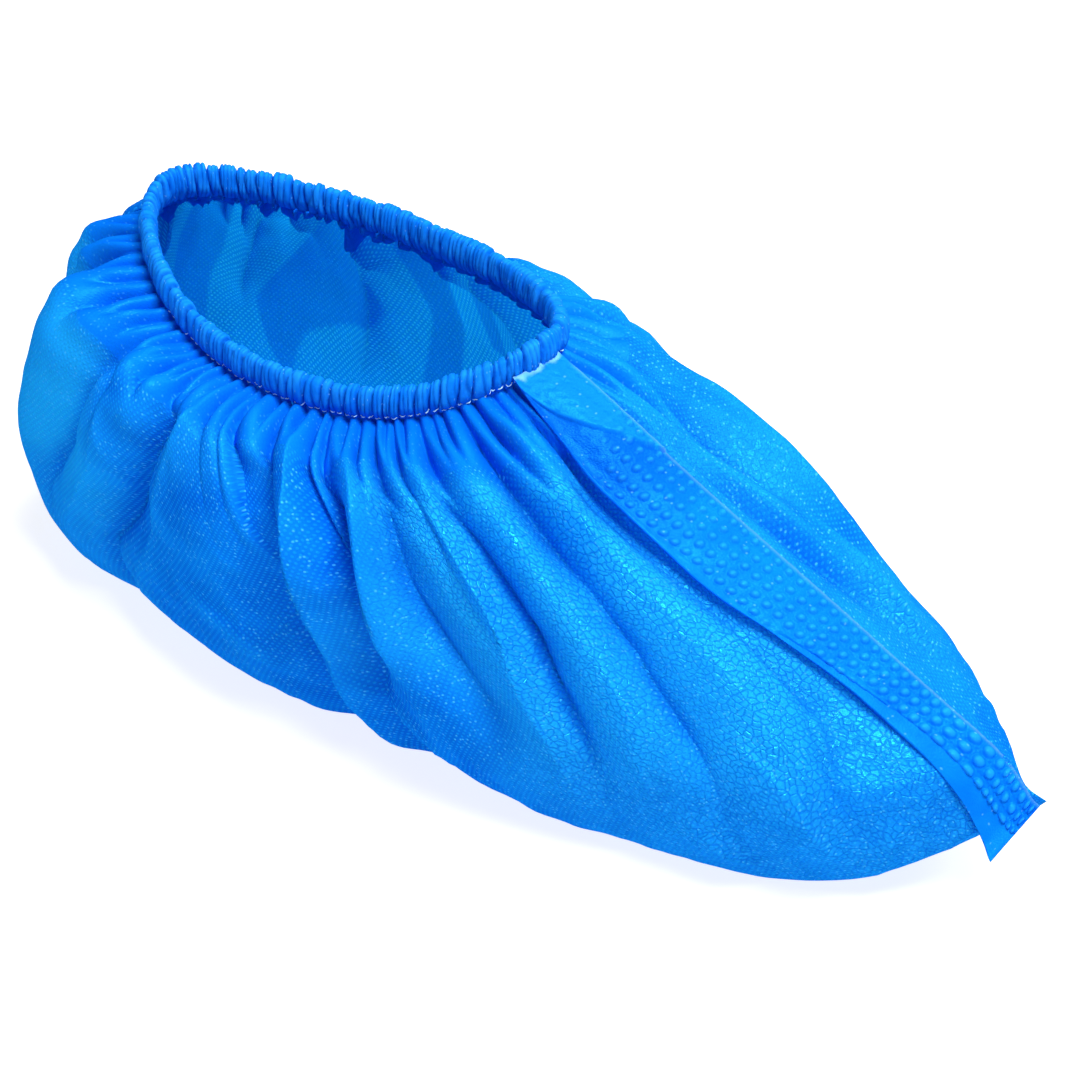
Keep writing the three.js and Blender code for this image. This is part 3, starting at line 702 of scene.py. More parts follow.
def body_material():
    material, tree, surface = new_material("non-woven film cloth")
    cloth = node(tree, "ShaderNodeUVMap", uv_map="Cloth").outputs["UV"]
    pale, film, past_hem, weld, over, fold_shading = attributes(
        tree, "painted_light", "film", "past_hem", "weld", "overlap", "fold_shading"
    )
    dots = placed(tree, EMBOSS, Cloth=cloth, Pitch=0.00135, Size=0.3)["Dots"]
    crackle = placed(tree, CRACKLE, Place=cloth, Cell=0.0019, Line=0.2)
    mottle = placed(tree, MOTTLE, Place=cloth, Clouds=55.0)
    glints = placed(tree, FLECKS, Place=cloth, Spacing=0.0014, Amount=0.2)["Flecks"]
    cracks = product(tree, crackle["Cracks"], film)
    hem = ramp(tree, past_hem, 0.25, -0.25)
    doubled = maths(tree, "MAXIMUM", hem, product(tree, over, 0.6))
    single = maths(tree, "SUBTRACT", 1.0, product(tree, doubled, 0.7))
    woven = maths(tree, "SUBTRACT", 1.0, product(tree, film, 0.75))
    colour = blend(tree, mottle["Patches"], rgba(BLUE), rgba(BLUE_PALE))
    # Painted light: the filmed vamp and heel lightened in colour.
    colour = blend(tree, product(tree, pale, 0.75), colour, rgba(BLUE_PAINTED_LIGHT))
    colour = blend(tree, product(tree, mottle["Fibres"], 0.22), colour, rgba(BLUE_DEEP))
    # Painted shade in the folds' valleys and painted light on their ridges.
    colour = blend(tree, ramp(tree, fold_shading, 0.0, 2.5, 0.0, 0.6), colour, rgba(BLUE_DEEP))
    colour = blend(tree, ramp(tree, fold_shading, 0.0, -2.0, 0.0, 0.35), colour, rgba(BLUE_DOT_AND_RIDGE_LIGHT))
    colour = blend(tree, product(tree, dots, single, woven, 0.42), colour, rgba(BLUE_DOT_AND_RIDGE_LIGHT))
    colour = blend(tree, product(tree, cracks, 0.7), colour, rgba(BLUE))
    colour = blend(tree, product(tree, doubled, 0.7), colour, rgba(BLUE_DOUBLED))
    colour = blend(tree, product(tree, weld, 0.7), colour, rgba(WELD_PALE))
    # Painted glints in the cloth's colour.
    shine = product(tree, glints, product(tree, single, 0.75))
    colour = blend(tree, shine, colour, rgba(GLINT_BLUE))
    rough = ramp(tree, product(tree, film, crackle["Cells"]), 0.0, 1.0, 0.42, 0.28)
    height = product(tree, dots, woven)
    height = product(tree, height, maths(tree, "SUBTRACT", 1.0, product(tree, hem, 0.75)))
    height = maths(tree, "SUBTRACT", height, product(tree, cracks, 1.8))
    height = maths(tree, "ADD", height, product(tree, mottle["Fibres"], 0.25))
    bump = node(tree, "ShaderNodeBump", {"Strength": 0.6, "Distance": 0.00014, "Height": height}).outputs[0]
    through = maths(tree, "ADD", ramp(tree, doubled, 0.0, 1.0, 0.32, 0.14), product(tree, pale, 0.14))
    glow = blend(tree, product(tree, dots, single), rgba(THROUGH_CLOTH), rgba(THROUGH_DOT))
    gloss = ramp(tree, product(tree, film, crackle["Cells"]), 0.0, 1.0, 0.06, 0.26)
    cloth_surface(tree, surface, colour, rough, bump, through, glow, gloss)
    return material


def casing_material():
    material, tree, surface = new_material("ruched casing cloth")
    place = node(tree, "ShaderNodeUVMap", uv_map="Cloth").outputs["UV"]
    (groove_shade_amount,) = attributes(tree, "groove_shade")
    mottle = placed(tree, MOTTLE, Place=place, Clouds=140.0)
    glints = placed(tree, FLECKS, Place=place, Spacing=0.0012, Amount=0.06)["Flecks"]
    colour = blend(tree, mottle["Patches"], (0.0035, 0.20, 0.86, 1.0), (0.010, 0.27, 0.92, 1.0))
    # Painted shade in the casing's grooves.
    colour = blend(tree, product(tree, groove_shade_amount, 0.95), colour, (0.0006, 0.055, 0.42, 1.0))
    # Painted glints in the casing's colour.
    colour = blend(tree, product(tree, glints, 0.5), colour, (0.16, 0.55, 1.0, 1.0))
    height = maths(tree, "ADD", mottle["Fibres"], product(tree, mottle["Patches"], 2.0))
    bump = node(tree, "ShaderNodeBump", {"Strength": 0.5, "Distance": 0.0001, "Height": height}).outputs[0]
    rough = ramp(tree, mottle["Patches"], 0.0, 1.0, 0.5, 0.42)
    cloth_surface(tree, surface, colour, rough, bump, 0.2, (0.002, 0.2, 0.8, 1.0))
    return material


def hem_material():
    material, tree, surface = new_material("turned hem cloth")
    cloth = node(tree, "ShaderNodeUVMap", uv_map="Cloth").outputs["UV"]
    dots = placed(tree, EMBOSS, Cloth=cloth, Pitch=0.0018, Size=0.3)["Dots"]
    mottle = placed(tree, MOTTLE, Place=cloth, Clouds=80.0)
    colour = blend(tree, mottle["Patches"], (0.0015, 0.15, 0.68, 1.0), (0.003, 0.20, 0.76, 1.0))
    colour = blend(tree, product(tree, dots, 0.2), colour, (0.01, 0.3, 0.85, 1.0))
    height = maths(tree, "ADD", mottle["Fibres"], dots)
    bump = node(tree, "ShaderNodeBump", {"Strength": 0.4, "Distance": 0.0001, "Height": height}).outputs[0]
    rough = ramp(tree, mottle["Fibres"], 0.0, 1.0, 0.6, 0.5)
    cloth_surface(tree, surface, colour, rough, bump, 0.3, (0.002, 0.2, 0.75, 1.0))
    return material


def strip_material():
    material, tree, surface = new_material("welded strip cloth")
    place = node(tree, "ShaderNodeUVMap", uv_map="Cloth").outputs["UV"]
    dome_highlight, pale, fray_and_ridge_highlight, shade, groove_shade = attributes(tree, "dome_highlight", "pale", "fray_and_ridge_highlight", "shade", "groove_shade")
    mottle = placed(tree, MOTTLE, Place=place, Clouds=90.0)
    glints = placed(tree, FLECKS, Place=place, Spacing=0.0013, Amount=0.05)["Flecks"]
    colour = blend(tree, mottle["Patches"], (0.0012, 0.175, 0.82, 1.0), (0.002, 0.22, 0.88, 1.0))
    colour = blend(tree, product(tree, shade, 0.85), colour, (0.0004, 0.085, 0.53, 1.0))
    colour = blend(tree, pale, colour, (0.003, 0.21, 0.84, 1.0))
    # Painted highlight on the tops of the welded spots.
    colour = blend(tree, product(tree, dome_highlight, 0.45), colour, (0.02, 0.42, 0.98, 1.0))
    # Painted shade in the strip's grooves and round its spots.
    colour = blend(tree, product(tree, groove_shade, 0.55), colour, (0.001, 0.13, 0.7, 1.0))
    # The real fray at the top end, and a painted highlight along the ridge.
    colour = blend(tree, product(tree, fray_and_ridge_highlight, 0.7), colour, (0.26, 0.66, 0.97, 1.0))
    # Painted glints in the strip's colour.
    colour = blend(tree, product(tree, glints, 0.4), colour, (0.16, 0.6, 1.0, 1.0))
    height = maths(tree, "ADD", mottle["Fibres"], product(tree, mottle["Patches"], 1.5))
    bump = node(tree, "ShaderNodeBump", {"Strength": 0.4, "Distance": 0.0001, "Height": height}).outputs[0]
    rough = ramp(tree, mottle["Patches"], 0.0, 1.0, 0.42, 0.34)
    cloth_surface(tree, surface, colour, rough, bump, 0.25, (0.004, 0.28, 0.85, 1.0))
    return material


def thread_material():
    material, tree, surface = new_material("white sewing thread")
    place = node(tree, "ShaderNodeTexCoord").outputs["Object"]
    twist = node(tree, "ShaderNodeTexNoise", {"Vector": place, "Scale": 3000.0, "Detail": 2.0}).outputs["Fac"]
    colour = blend(tree, ramp(tree, twist, 0.3, 0.7), rgba(THREAD_WHITE), rgba(THREAD_SHADE))
    bump = node(tree, "ShaderNodeBump", {"Strength": 0.4, "Distance": 0.00005, "Height": twist}).outputs[0]
    front = node(tree, "ShaderNodeBsdfPrincipled", {"Base Color": colour, "Roughness": 0.6, "Normal": bump})
    put(tree, surface, front.outputs[0])
    return material


# ---- pieces ------------------------------------------------------------------------------------
TURNS, DOWNS, CLOTH, NORMALS, FOLD_SHADING = cloth_grid()


def cloth_sample(grid, turns, downs):
    """A grid's values at any turns and downs, between its points."""
    column = np.mod(turns, 1) * COLUMNS
    i = np.floor(column).astype(int) % COLUMNS
    u = (column - np.floor(column))[..., None]
    j = np.clip(np.searchsorted(DOWNS, downs, side="right") - 1, 0, ROWS - 1)
    v = np.clip((downs - DOWNS[j]) / (DOWNS[j + 1] - DOWNS[j]), 0, 1)[..., None]
    k = (i + 1) % COLUMNS
    upper = grid[j, i] * (1 - u) + grid[j, k] * u
    lower = grid[j + 1, i] * (1 - u) + grid[j + 1, k] * u
    return upper * (1 - v) + lower * v


def slow_round(values, kept=6):
    """Only the slow changes of the values round the bag."""
    spectrum = np.fft.rfft(values, axis=1)
    spectrum[:, kept:] = 0
    return np.fft.irfft(spectrum, values.shape[1], axis=1)


# Length of cloth from the stitching down to each point of the grid.
STEPS = np.linalg.norm(np.diff(CLOTH, axis=0), axis=-1)
RUN = slow_round(np.concatenate([np.zeros((1, COLUMNS)), np.cumsum(STEPS, axis=0)]))


def down_at_run(run):
    """The way down at a length of cloth from the stitching, for each column."""
    return np.stack([np.interp(run[:, i], RUN[:, i], DOWNS) for i in range(COLUMNS)], 1)


def flat_place(turns, run):
    """Where a place lies on the flat cloth, in metres."""
    return np.stack([turns * 2 * FLAT_LENGTH * MM, run * MM], -1)


def hem_edge(turns):
    """The lower edge of the turned hem, in millimetres of cloth."""
    angle = 2 * np.pi * turns
    return HEM + 1.2 * np.sin(3 * angle + 1) + 0.8 * np.sin(11 * angle) + 0.5 * np.sin(29 * angle)


RIM_RISE = 1.6  # how far the bag's edge goes up inside the casing
# Patches of the far side where the cloth lies double: way down, and shares of their two edges.
OVERLAPS = [
    [(0.0, 0.652, 0.668), (0.1, 0.675, 0.705), (0.2, 0.685, 0.74), (0.3, 0.682, 0.775), (0.38, 0.68, 0.8),
     (0.44, 0.7, 0.818), (0.5, 0.745, 0.828), (0.56, 0.79, 0.826), (0.62, 0.808, 0.815)],
    [(0.0, 0.79, 0.83), (0.1, 0.82, 0.855), (0.2, 0.84, 0.885), (0.3, 0.85, 0.9), (0.42, 0.865, 0.9),
     (0.55, 0.875, 0.885)],
    [(0.0, 0.585, 0.61), (0.12, 0.6, 0.63), (0.24, 0.605, 0.64), (0.36, 0.61, 0.64), (0.5, 0.625, 0.66),
     (0.66, 0.65, 0.69)],
    [(0.0, 0.5, 0.53), (0.14, 0.53, 0.56), (0.28, 0.545, 0.575), (0.42, 0.56, 0.58)],
]
OVERLAP_SOFT = 0.004  # of their edges, as a share of the side
RIM_RUCHE = 1.0  # rise and fall of that edge, a wave for each pleat
WELD_WIDTH = 0.5  # half width of the thin welded lines by the heel


def overlap(near, share, down):
    """How far a place is inside the doubled patches, from 0 to 1."""
    total = 0 * share
    for patch in OVERLAPS:
        at, low, high = (np.array([p[n] for p in patch], float) for n in range(3))
        inside = smooth((share - calm_curve(at, low)(down)) / OVERLAP_SOFT + 0.5)
        inside = inside * smooth((calm_curve(at, high)(down) - share) / OVERLAP_SOFT + 0.5)
        total = np.maximum(total, inside * (down <= at[-1]))
    return np.where(near, 0, total)


def cover_shell(material):
    turn, down = np.broadcast_arrays(TURNS[None, :], DOWNS[:, None])
    # The edge inside the casing stays ruched.
    ruche = RIM_RUCHE * np.sin(2 * np.pi * PLEATS * TURNS)
    top = CLOTH[:1] + np.array([0, 0, RIM_RISE]) + ruche[None, :, None] * np.array([0, 0, 1.0])
    points = np.concatenate([top, CLOTH[:-1]]).reshape(-1, 3)
    faces = grid_faces(ROWS + 1, COLUMNS, True)
    # Both sides meet on the fold under the sole, so they share its points.
    half = COLUMNS // 2
    fold = CLOTH[-1, : half + 1]
    start = len(points)
    points = np.concatenate([points, fold])
    last = ROWS * COLUMNS
    i = np.arange(COLUMNS)
    right = (i + 1) % COLUMNS
    under = np.minimum(i, COLUMNS - i)
    under_right = np.minimum(right, COLUMNS - right)
    closing = np.stack([last + i, last + right, start + under_right, start + under], -1)
    faces = [list(dict.fromkeys(face)) for face in np.concatenate([faces, closing]).tolist()]
    turn_all = np.concatenate([np.concatenate([turn[:1], turn[:-1]]).ravel(), i[: half + 1] / COLUMNS])
    down_all = np.concatenate([np.concatenate([down[:1], down[:-1]]).ravel(), np.ones(half + 1)])
    run_all = np.concatenate([np.concatenate([RUN[:1] - RIM_RISE, RUN[:-1]]).ravel(), RUN[-1, : half + 1]])
    near = turn_all <= 0.5
    share = np.where(near, 2 * turn_all, 2 - 2 * turn_all)
    heel_part = 0.9 * smooth((share - 0.68) / 0.1)
    near_film = np.maximum(smooth((0.42 - share) / 0.14), heel_part)
    film = np.where(near, near_film, 0.1 * smooth((0.3 - share) / 0.1) + 0.15)
    film = np.clip(film * smooth((down_all - 0.1) / 0.04) + 0.35 * noise(points / 22.0), 0, 1)
    # Painted light: the colour is made lighter where the film is, less so towards the sole.
    painted_light = film * (1 - 0.6 * smooth((down_all - 0.42) / 0.2))
    past_hem = run_all - hem_edge(turn_all)
    heel_away = (1 - share) * 300 + 1.5 * noise(points / 9.0)
    lines = np.exp(-(((heel_away - 6) / WELD_WIDTH) ** 2))
    lines = lines + np.exp(-(((heel_away - 16 - 20 * (down_all - 0.3)) / WELD_WIDTH) ** 2))
    weld = lines * smooth((down_all - 0.2) / 0.06) * smooth((0.6 - down_all) / 0.08)
    fold_shading = np.concatenate([np.concatenate([FOLD_SHADING[:1], FOLD_SHADING[:-1]]).ravel(), FOLD_SHADING[-1, : half + 1]])
    shell = mesh_object("cover_shell_cloth", points, faces, material, flat_place(turn_all, run_all), {
        "painted_light": painted_light, "film": film * (share < 0.5), "past_hem": past_hem, "weld": weld,
        "fold_shading": fold_shading, "overlap": overlap(near, share, down_all),
    })
    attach(shell, "root")
    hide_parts("cover_shell")
    return shell


CASING_COLUMNS = 1260
CASING_SIDES = 30


def casing_frame(turns):
    """The ring that the casing follows: its points, and the horizontal way out."""
    turns = np.mod(turns, 1)
    base, _ = bag_grid(turns, np.array([0.0]))
    ring = base[0]
    fine = np.linspace(0, 1, 721)[:-1]
    dense, _ = bag_grid(fine, np.array([0.0]))
    dense = dense[0]
    along = np.roll(dense, -4, axis=0) - np.roll(dense, 4, axis=0)
    out = np.stack([-along[:, 1], along[:, 0], np.zeros(len(fine))], -1)
    out /= np.linalg.norm(out, axis=1, keepdims=True)
    outwards = np.sign(np.sum(out * (dense - dense.mean(0)), 1).mean())
    fine, out = np.append(fine, 1.0), np.append(out, out[:1], axis=0)
    way = np.stack([np.interp(turns, fine, out[:, n]) for n in range(3)], -1)
    way *= outwards
    return ring, way / np.linalg.norm(way, axis=1, keepdims=True)


def casing_surface(turns, angle):
    """Points of the casing where angle goes round its section, from the bottom outwards and up."""
    ring, way = casing_frame(turns)
    turns, angle = np.broadcast_arrays(turns[None, :], angle[:, None])
    rise = CASING_HEIGHT * (1 - np.cos(angle)) / 2
    swell = np.sin(angle)
    full = CASING_HALF * (0.42 + 0.58 * smooth(rise / 4.2)) * np.sign(swell) * np.abs(swell) ** 0.7
    slant = 0.0016 * (rise / CASING_HEIGHT - 0.5)
    slant = slant + 0.0022 * noise(np.stack([turns * 60, rise / 7, 0 * rise + 2.5], -1))
    lobe, _ = lobes(turns + slant, 0, power=6)
    lobe = np.minimum(lobe, 0.75 + 0.25 * lobe)
    phase = PLEATS * 2.3 * turns + 2.1 * np.sin(2 * np.pi * 7 * turns) - slant * 260
    fine = np.abs(np.sin(np.pi * phase))
    height = 1.9 * (lobe - 0.75) - 0.6 * (1 - fine) ** 3
    height = height + 0.3 * noise(np.stack([turns * 130, rise / 3.0, np.sign(swell) * 3.3], -1))
    ones = np.ones_like(rise)
    side = np.stack([way[None, :, 0] * ones, way[None, :, 1] * ones, 0 * rise], -1)
    up = np.array([0.0, 0.0, 1.0])
    facing = np.sin(angle)[..., None] * side - np.cos(angle)[..., None] * up
    wobble = 0.5 * noise(np.stack([turns * 14, 0 * rise, 0 * rise + 1.5], -1))
    pinch = 0.35 + 0.65 * smooth(rise / 3.0)
    points = ring[None] + side * (full + wobble)[..., None] + up * rise[..., None]
    points = points + facing * (height * pinch)[..., None]
    # Painted shade: how far the casing's colour is darkened in the grooves between its lobes and ruches.
    groove_shade = np.clip(0.6 - lobe, 0, 1) * 1.7 + 0.7 * (1 - fine) ** 3
    return points, np.clip(groove_shade, 0, 1)


def elastic_casing(material):
    turns = np.arange(CASING_COLUMNS) / CASING_COLUMNS
    angle = 2 * np.pi * np.arange(CASING_SIDES) / CASING_SIDES
    points, groove_shade = casing_surface(turns, angle)
    faces = grid_faces(CASING_SIDES, CASING_COLUMNS, True)
    i = np.arange(CASING_COLUMNS)
    right = (i + 1) % CASING_COLUMNS
    last = (CASING_SIDES - 1) * CASING_COLUMNS
    closing = np.stack([last + i, last + right, right, i], -1)
    faces = np.concatenate([faces, closing])[:, ::-1]
    turn = np.broadcast_to(turns, groove_shade.shape)
    round_tube = np.broadcast_to(angle[:, None], groove_shade.shape) * CASING_HEIGHT * 0.4
    place = np.stack([turn * 2 * FLAT_LENGTH, round_tube], -1) * MM
    casing = mesh_object(
        "ruched_elastic_casing", points.reshape(-1, 3), faces, material, place.reshape(-1, 2),
        {"groove_shade": groove_shade},
    )
    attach(casing, "root")
    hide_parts("elastic_casing")
    return casing


def thread_path(turn_from, turn_to):
    """A stitch that lies on the casing, in the cloth at both ends."""
    steps = np.linspace(0, 1, 7)
    turns = turn_from + (turn_to - turn_from) * steps
    low = math.acos(1 - 2 * STITCH_RISE / CASING_HEIGHT)
    surface, _ = casing_surface(turns, np.array([low]))
    _, way = casing_frame(turns)
    proud = 0.3 * np.sin(np.pi * steps) ** 0.5 - 0.08
    return surface[0] + way * proud[:, None]


def stitching(material):
    """The white seam that closes the casing."""
    sides = 6
    round_angle = 2 * np.pi * np.arange(sides) / sides
    points, faces = [], []
    length = side_level(0.0, NEAR)[1][-1] + side_level(0.0, FAR)[1][-1]
    count = int(length / STITCH_PITCH)
    for n in range(count):
        begin = (n + RANDOM.uniform(-0.1, 0.1)) / count
        path = thread_path(np.array(begin), begin + STITCH_LENGTH / length * RANDOM.uniform(0.75, 1.1))
        along = np.gradient(path, axis=0)
        along /= np.linalg.norm(along, axis=1, keepdims=True)
        first = np.cross(along, [0, 0, 1.0])
        first /= np.linalg.norm(first, axis=1, keepdims=True)
        second = np.cross(along, first)
        cosine, sine = np.cos(round_angle)[None, :, None], np.sin(round_angle)[None, :, None]
        ring = path[:, None] + THREAD_RADIUS * (first[:, None] * cosine + second[:, None] * sine)
        start = sum(len(p) for p in points)
        points.append(ring.reshape(-1, 3))
        faces += grid_faces(len(path), sides, True, start).tolist()
        end = start + (len(path) - 1) * sides
        faces += [list(range(start, start + sides)), list(range(end, end + sides))[::-1]]
    seam = mesh_object("casing_stitching", np.concatenate(points), faces, material)
    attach(seam, "root")
    return seam


FACING_ROWS = 26


def hem_facing(material):
    """The hem turned down inside the mouth: a sheet just inside the bag, loose at its lower edge."""
    share = np.linspace(0, 1, FACING_ROWS)
    turn, part = np.broadcast_arrays(TURNS[None, :], share[:, None])
    run = part * hem_edge(turn)
    down = down_at_run(run)
    points = cloth_sample(CLOTH, turn, down)
    normal = cloth_sample(NORMALS, turn, down)
    loose = 0.45 + 1.3 * part**2 * (1 + 0.8 * noise(np.stack([turn * 50, part * 2, 0 * part + 5.5], -1)))
    points = points - normal * loose[..., None]
    points[0, :, 2] += 0.6
    faces = grid_faces(FACING_ROWS, COLUMNS, True)
    place = flat_place(turn, -run).reshape(-1, 2)
    piece = mesh_object("hem_facing_cloth", points.reshape(-1, 3), faces, material, place)
    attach(piece, "root")
    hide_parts("hem_facing")
    return piece


def slab(upper, lower):
    """A thin closed slab between two matching grids: its points and outward faces."""
    rows, columns, _ = upper.shape
    top = grid_faces(rows, columns, False)
    under = rows * columns
    bottom = top[:, ::-1] + under
    index = np.arange(rows * columns).reshape(rows, columns)
    rim = np.concatenate([index[0, :-1], index[:-1, -1], index[-1, :0:-1], index[:0:-1, 0]])
    after = np.roll(rim, -1)
    wall = np.stack([after, rim, rim + under, after + under], -1)
    return np.concatenate([upper.reshape(-1, 3), lower.reshape(-1, 3)]), np.concatenate([top, bottom, wall])


def dome(distance, radius):
    """A round raised spot with a narrow moat."""
    x = distance / radius
    raised = np.where(x < 1, np.cos(np.clip(x, 0, 1) * np.pi / 2) ** 0.8, 0)
    return raised - 0.35 * np.exp(-(((x - 1.2) / 0.22) ** 2))


STRIP_ROWS, STRIP_COLUMNS = 560, 64
TAB_LENGTH = 38.0  # of the pale corner folded over at the toe strip's top
STRIP_END_EDGE = np.array([-5.4, -14.0, -11.4])  # from the seam to the free corner at the toe


SMOOTH_CLOTH = smoothed_grid(CLOTH, 90)
SMOOTH_NORMALS = outward(SMOOTH_CLOTH)
SIDE_LENGTHS = np.array([side_level(down, NEAR)[1][-1] for down in DOWNS])


def strip_base(side, heel, across, down):
    """Points and normals of the evened cloth at a distance from a seam."""
    share = across / np.interp(down, DOWNS, SIDE_LENGTHS)
    if heel:
        share = 1 - share
    turn = share / 2 if side < 0 else 1 - share / 2
    return cloth_sample(SMOOTH_CLOTH, turn, down), cloth_sample(SMOOTH_NORMALS, turn, down)


def bump_rows(across, along, pitch, first):
    """Distance to the nearest spot of a square grid, and the number of its row."""
    row = np.maximum(np.round((across - first) / pitch), 0)
    away = np.hypot(across - first - row * pitch, (along / pitch - np.round(along / pitch)) * pitch)
    return away, row


def both_sides(values):
    """Values for a slab's upper points, and nothing for its lower ones."""
    return np.concatenate([np.clip(values, 0, 1).ravel(), 0 * values.ravel()])


def toe_strip(material):
    """The toe's welded allowance, folded on to the near side and standing free at its lower end."""
    down = np.linspace(0.0, 1.0, STRIP_ROWS)[:, None]
    part = np.linspace(0, 1, STRIP_COLUMNS)[None, :]
    down, part = np.broadcast_arrays(down, part)
    width = calm_curve([row[0] for row in STRIP_WIDTHS], [row[1] for row in STRIP_WIDTHS])(down)
    along = np.interp(down, DOWNS, RUN[:, 0])
    across = part * width
    ripple = noise(np.stack([along / 30, part * 1.2, 0 * part + 8.5], -1))
    base, normal = strip_base(NEAR, False, across, down)
    # Lower down the strip leaves the bag and stands out straight from the seam.
    seam = base[:, :1]
    straight = seam + (across / STRIP_WIDTHS[-1][1])[..., None] * STRIP_END_EDGE
    free = smooth((down - 0.66) / 0.3)[..., None]
    away = straight - seam
    flat_normal = np.cross(np.gradient(seam, axis=0), away)
    flat_normal /= np.maximum(np.linalg.norm(flat_normal, axis=-1, keepdims=True), 1e-9)
    flat_normal *= np.sign(flat_normal[..., 2:])
    flat_normal[:, 0] = flat_normal[:, 1]
    base = base * (1 - free) + straight * free
    normal = normal * (1 - free) + flat_normal * free
    normal /= np.linalg.norm(normal, axis=-1, keepdims=True)
    lift = 2.0 + part**2 * (1.2 + 1.2 * ripple) + 0.4 * ripple * part - 0.9 * part * (1 - part)
    base = base + normal * lift[..., None]
    # Rows of round welded spots along the seam, deeper and with ladder-like grooves near the toe.
    distance, row = bump_rows(across, along, STRIP_PITCH, 2.1)
    rows_here = calm_curve([0, 0.14, 0.3, 0.42, 0.55, 1.0], [5.4, 5.4, 4.6, 3.4, 2.6, 2.4])(down)
    printed = smooth((rows_here - row) * 2) * smooth((along - 14 - 0.9 * across) / 12)
    lower = smooth((down - 0.32) / 0.2)
    radius = 1.15 + 0.25 * lower
    spot = dome(distance, radius) * printed
    moat = np.exp(-(((distance - 1.15 * radius) / 0.35) ** 2)) * printed
    row_gap = np.abs((across - 2.1) / STRIP_PITCH - row)
    ladder = np.exp(-(((0.5 - row_gap) / 0.11) ** 2)) * printed
    along_gap = np.abs(along / STRIP_PITCH - np.round(along / STRIP_PITCH))
    rungs = np.exp(-(((0.5 - along_gap) / 0.1) ** 2)) * printed
    # The corner of the top end is folded over and shows its paler back.
    tab_line = (1 - along / TAB_LENGTH) * width * 1.1
    tab = smooth((tab_line - across) / 0.5 + 0.5)
    distance_pits, _ = bump_rows(across, along + 1.2 * across, 3.3, 1.4)
    pit = np.exp(-((distance_pits / 0.5) ** 2)) * tab
    bend = smooth((across - (rows_here + 0.1) * STRIP_PITCH) / 1.6) * smooth((down - 0.3) / 0.15)
    rolled = np.exp(-(((1 - part) * width / 1.1) ** 2)) * smooth((0.5 - down) / 0.1)
    ridge = np.exp(-((across / 0.8) ** 2))
    height = 0.68 * spot - 0.4 * ladder * (0.3 + 0.7 * lower) - 0.14 * rungs * (0.4 + 0.6 * lower)
    height = height + 0.9 * tab - 0.4 * pit - 3.4 * bend + 0.55 * rolled + 0.35 * ridge
    fuzz = 0.08 * noise(np.stack([along / 1.3, across / 1.3, 0 * part], -1))
    upper = base + normal * (STRIP_THICKNESS + height + fuzz)[..., None]
    points, faces = slab(upper, base)
    fray_and_ridge_highlight = smooth((1.6 - along - 10 * fuzz) / 1.2)
    # Painted highlight along the seam ridge.
    fray_and_ridge_highlight = fray_and_ridge_highlight + 0.35 * np.exp(-((across / 0.5) ** 2)) * smooth((along - 3) / 4)
    shade = np.maximum(bend, smooth((across - tab_line + 2) / 3) * smooth((62 - along) / 30) * (1 - tab))
    flat = np.tile(np.stack([along, across], -1).reshape(-1, 2) * MM, (2, 1))
    # For the colour: painted highlights on the spots' tops and along the ridge beside the real fray of the
    # top end, painted shade in the grooves and moats.
    strip = mesh_object("toe_welded_strip", points, faces, material, flat, {
        "dome_highlight": both_sides(spot), "pale": both_sides(tab * (1 - np.clip(pit, 0, 1))),
        "fray_and_ridge_highlight": both_sides(fray_and_ridge_highlight), "shade": both_sides(shade),
        "groove_shade": both_sides(np.maximum(np.maximum(ladder, 0.6 * rungs) * (0.4 + 0.6 * lower), 0.7 * moat)),
    })
    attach(strip, "root")
    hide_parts("toe_seam_strip")
    return strip


HEEL_STRIP_ROWS, HEEL_STRIP_COLUMNS = 300, 34


def heel_strip(material):
    """The heel's welded allowance, which lies flat against the far side."""
    down = np.linspace(0.02, 0.7, HEEL_STRIP_ROWS)[:, None]
    part = np.linspace(0, 1, HEEL_STRIP_COLUMNS)[None, :]
    down, part = np.broadcast_arrays(down, part)
    along, across = np.interp(down, DOWNS, RUN[:, COLUMNS // 2]), part * HEEL_STRIP_WIDTH
    ripple = noise(np.stack([along / 20, part * 1.5, 0 * part + 15.5], -1))
    base, normal = strip_base(FAR, True, across, down)
    base = base + normal * (1.2 + part**2 * (1.3 + ripple))[..., None]
    distance, row = bump_rows(across, along, STRIP_PITCH, 1.7)
    spot = dome(distance, 1.1) * smooth((3.4 - row) * 2)
    upper = base + normal * (STRIP_THICKNESS + 0.4 * spot)[..., None]
    points, faces = slab(upper, base)
    flat = np.tile(np.stack([along, across], -1).reshape(-1, 2) * MM, (2, 1))
    strip = mesh_object("heel_welded_strip", points, faces[:, ::-1], material, flat, {
        "dome_highlight": both_sides(spot), "pale": both_sides(0 * part), "fray_and_ridge_highlight": both_sides(0 * part),
        "shade": both_sides(0 * part), "groove_shade": both_sides(0 * part),
    })
    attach(strip, "root")
    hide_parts("heel_seam_strip")
    return strip


# ---- making it ---------------------------------------------------------------------------------
shell = cover_shell(body_material())
casing = elastic_casing(casing_material())
seam = stitching(thread_material())
facing = hem_facing(hem_material())
strip_cloth = strip_material()
toe = toe_strip(strip_cloth)
heel = heel_strip(strip_cloth)


# ---- floor, light and camera -------------------------------------------------------------------
FLOOR_REACH = 6.0  # metres from the middle to each edge


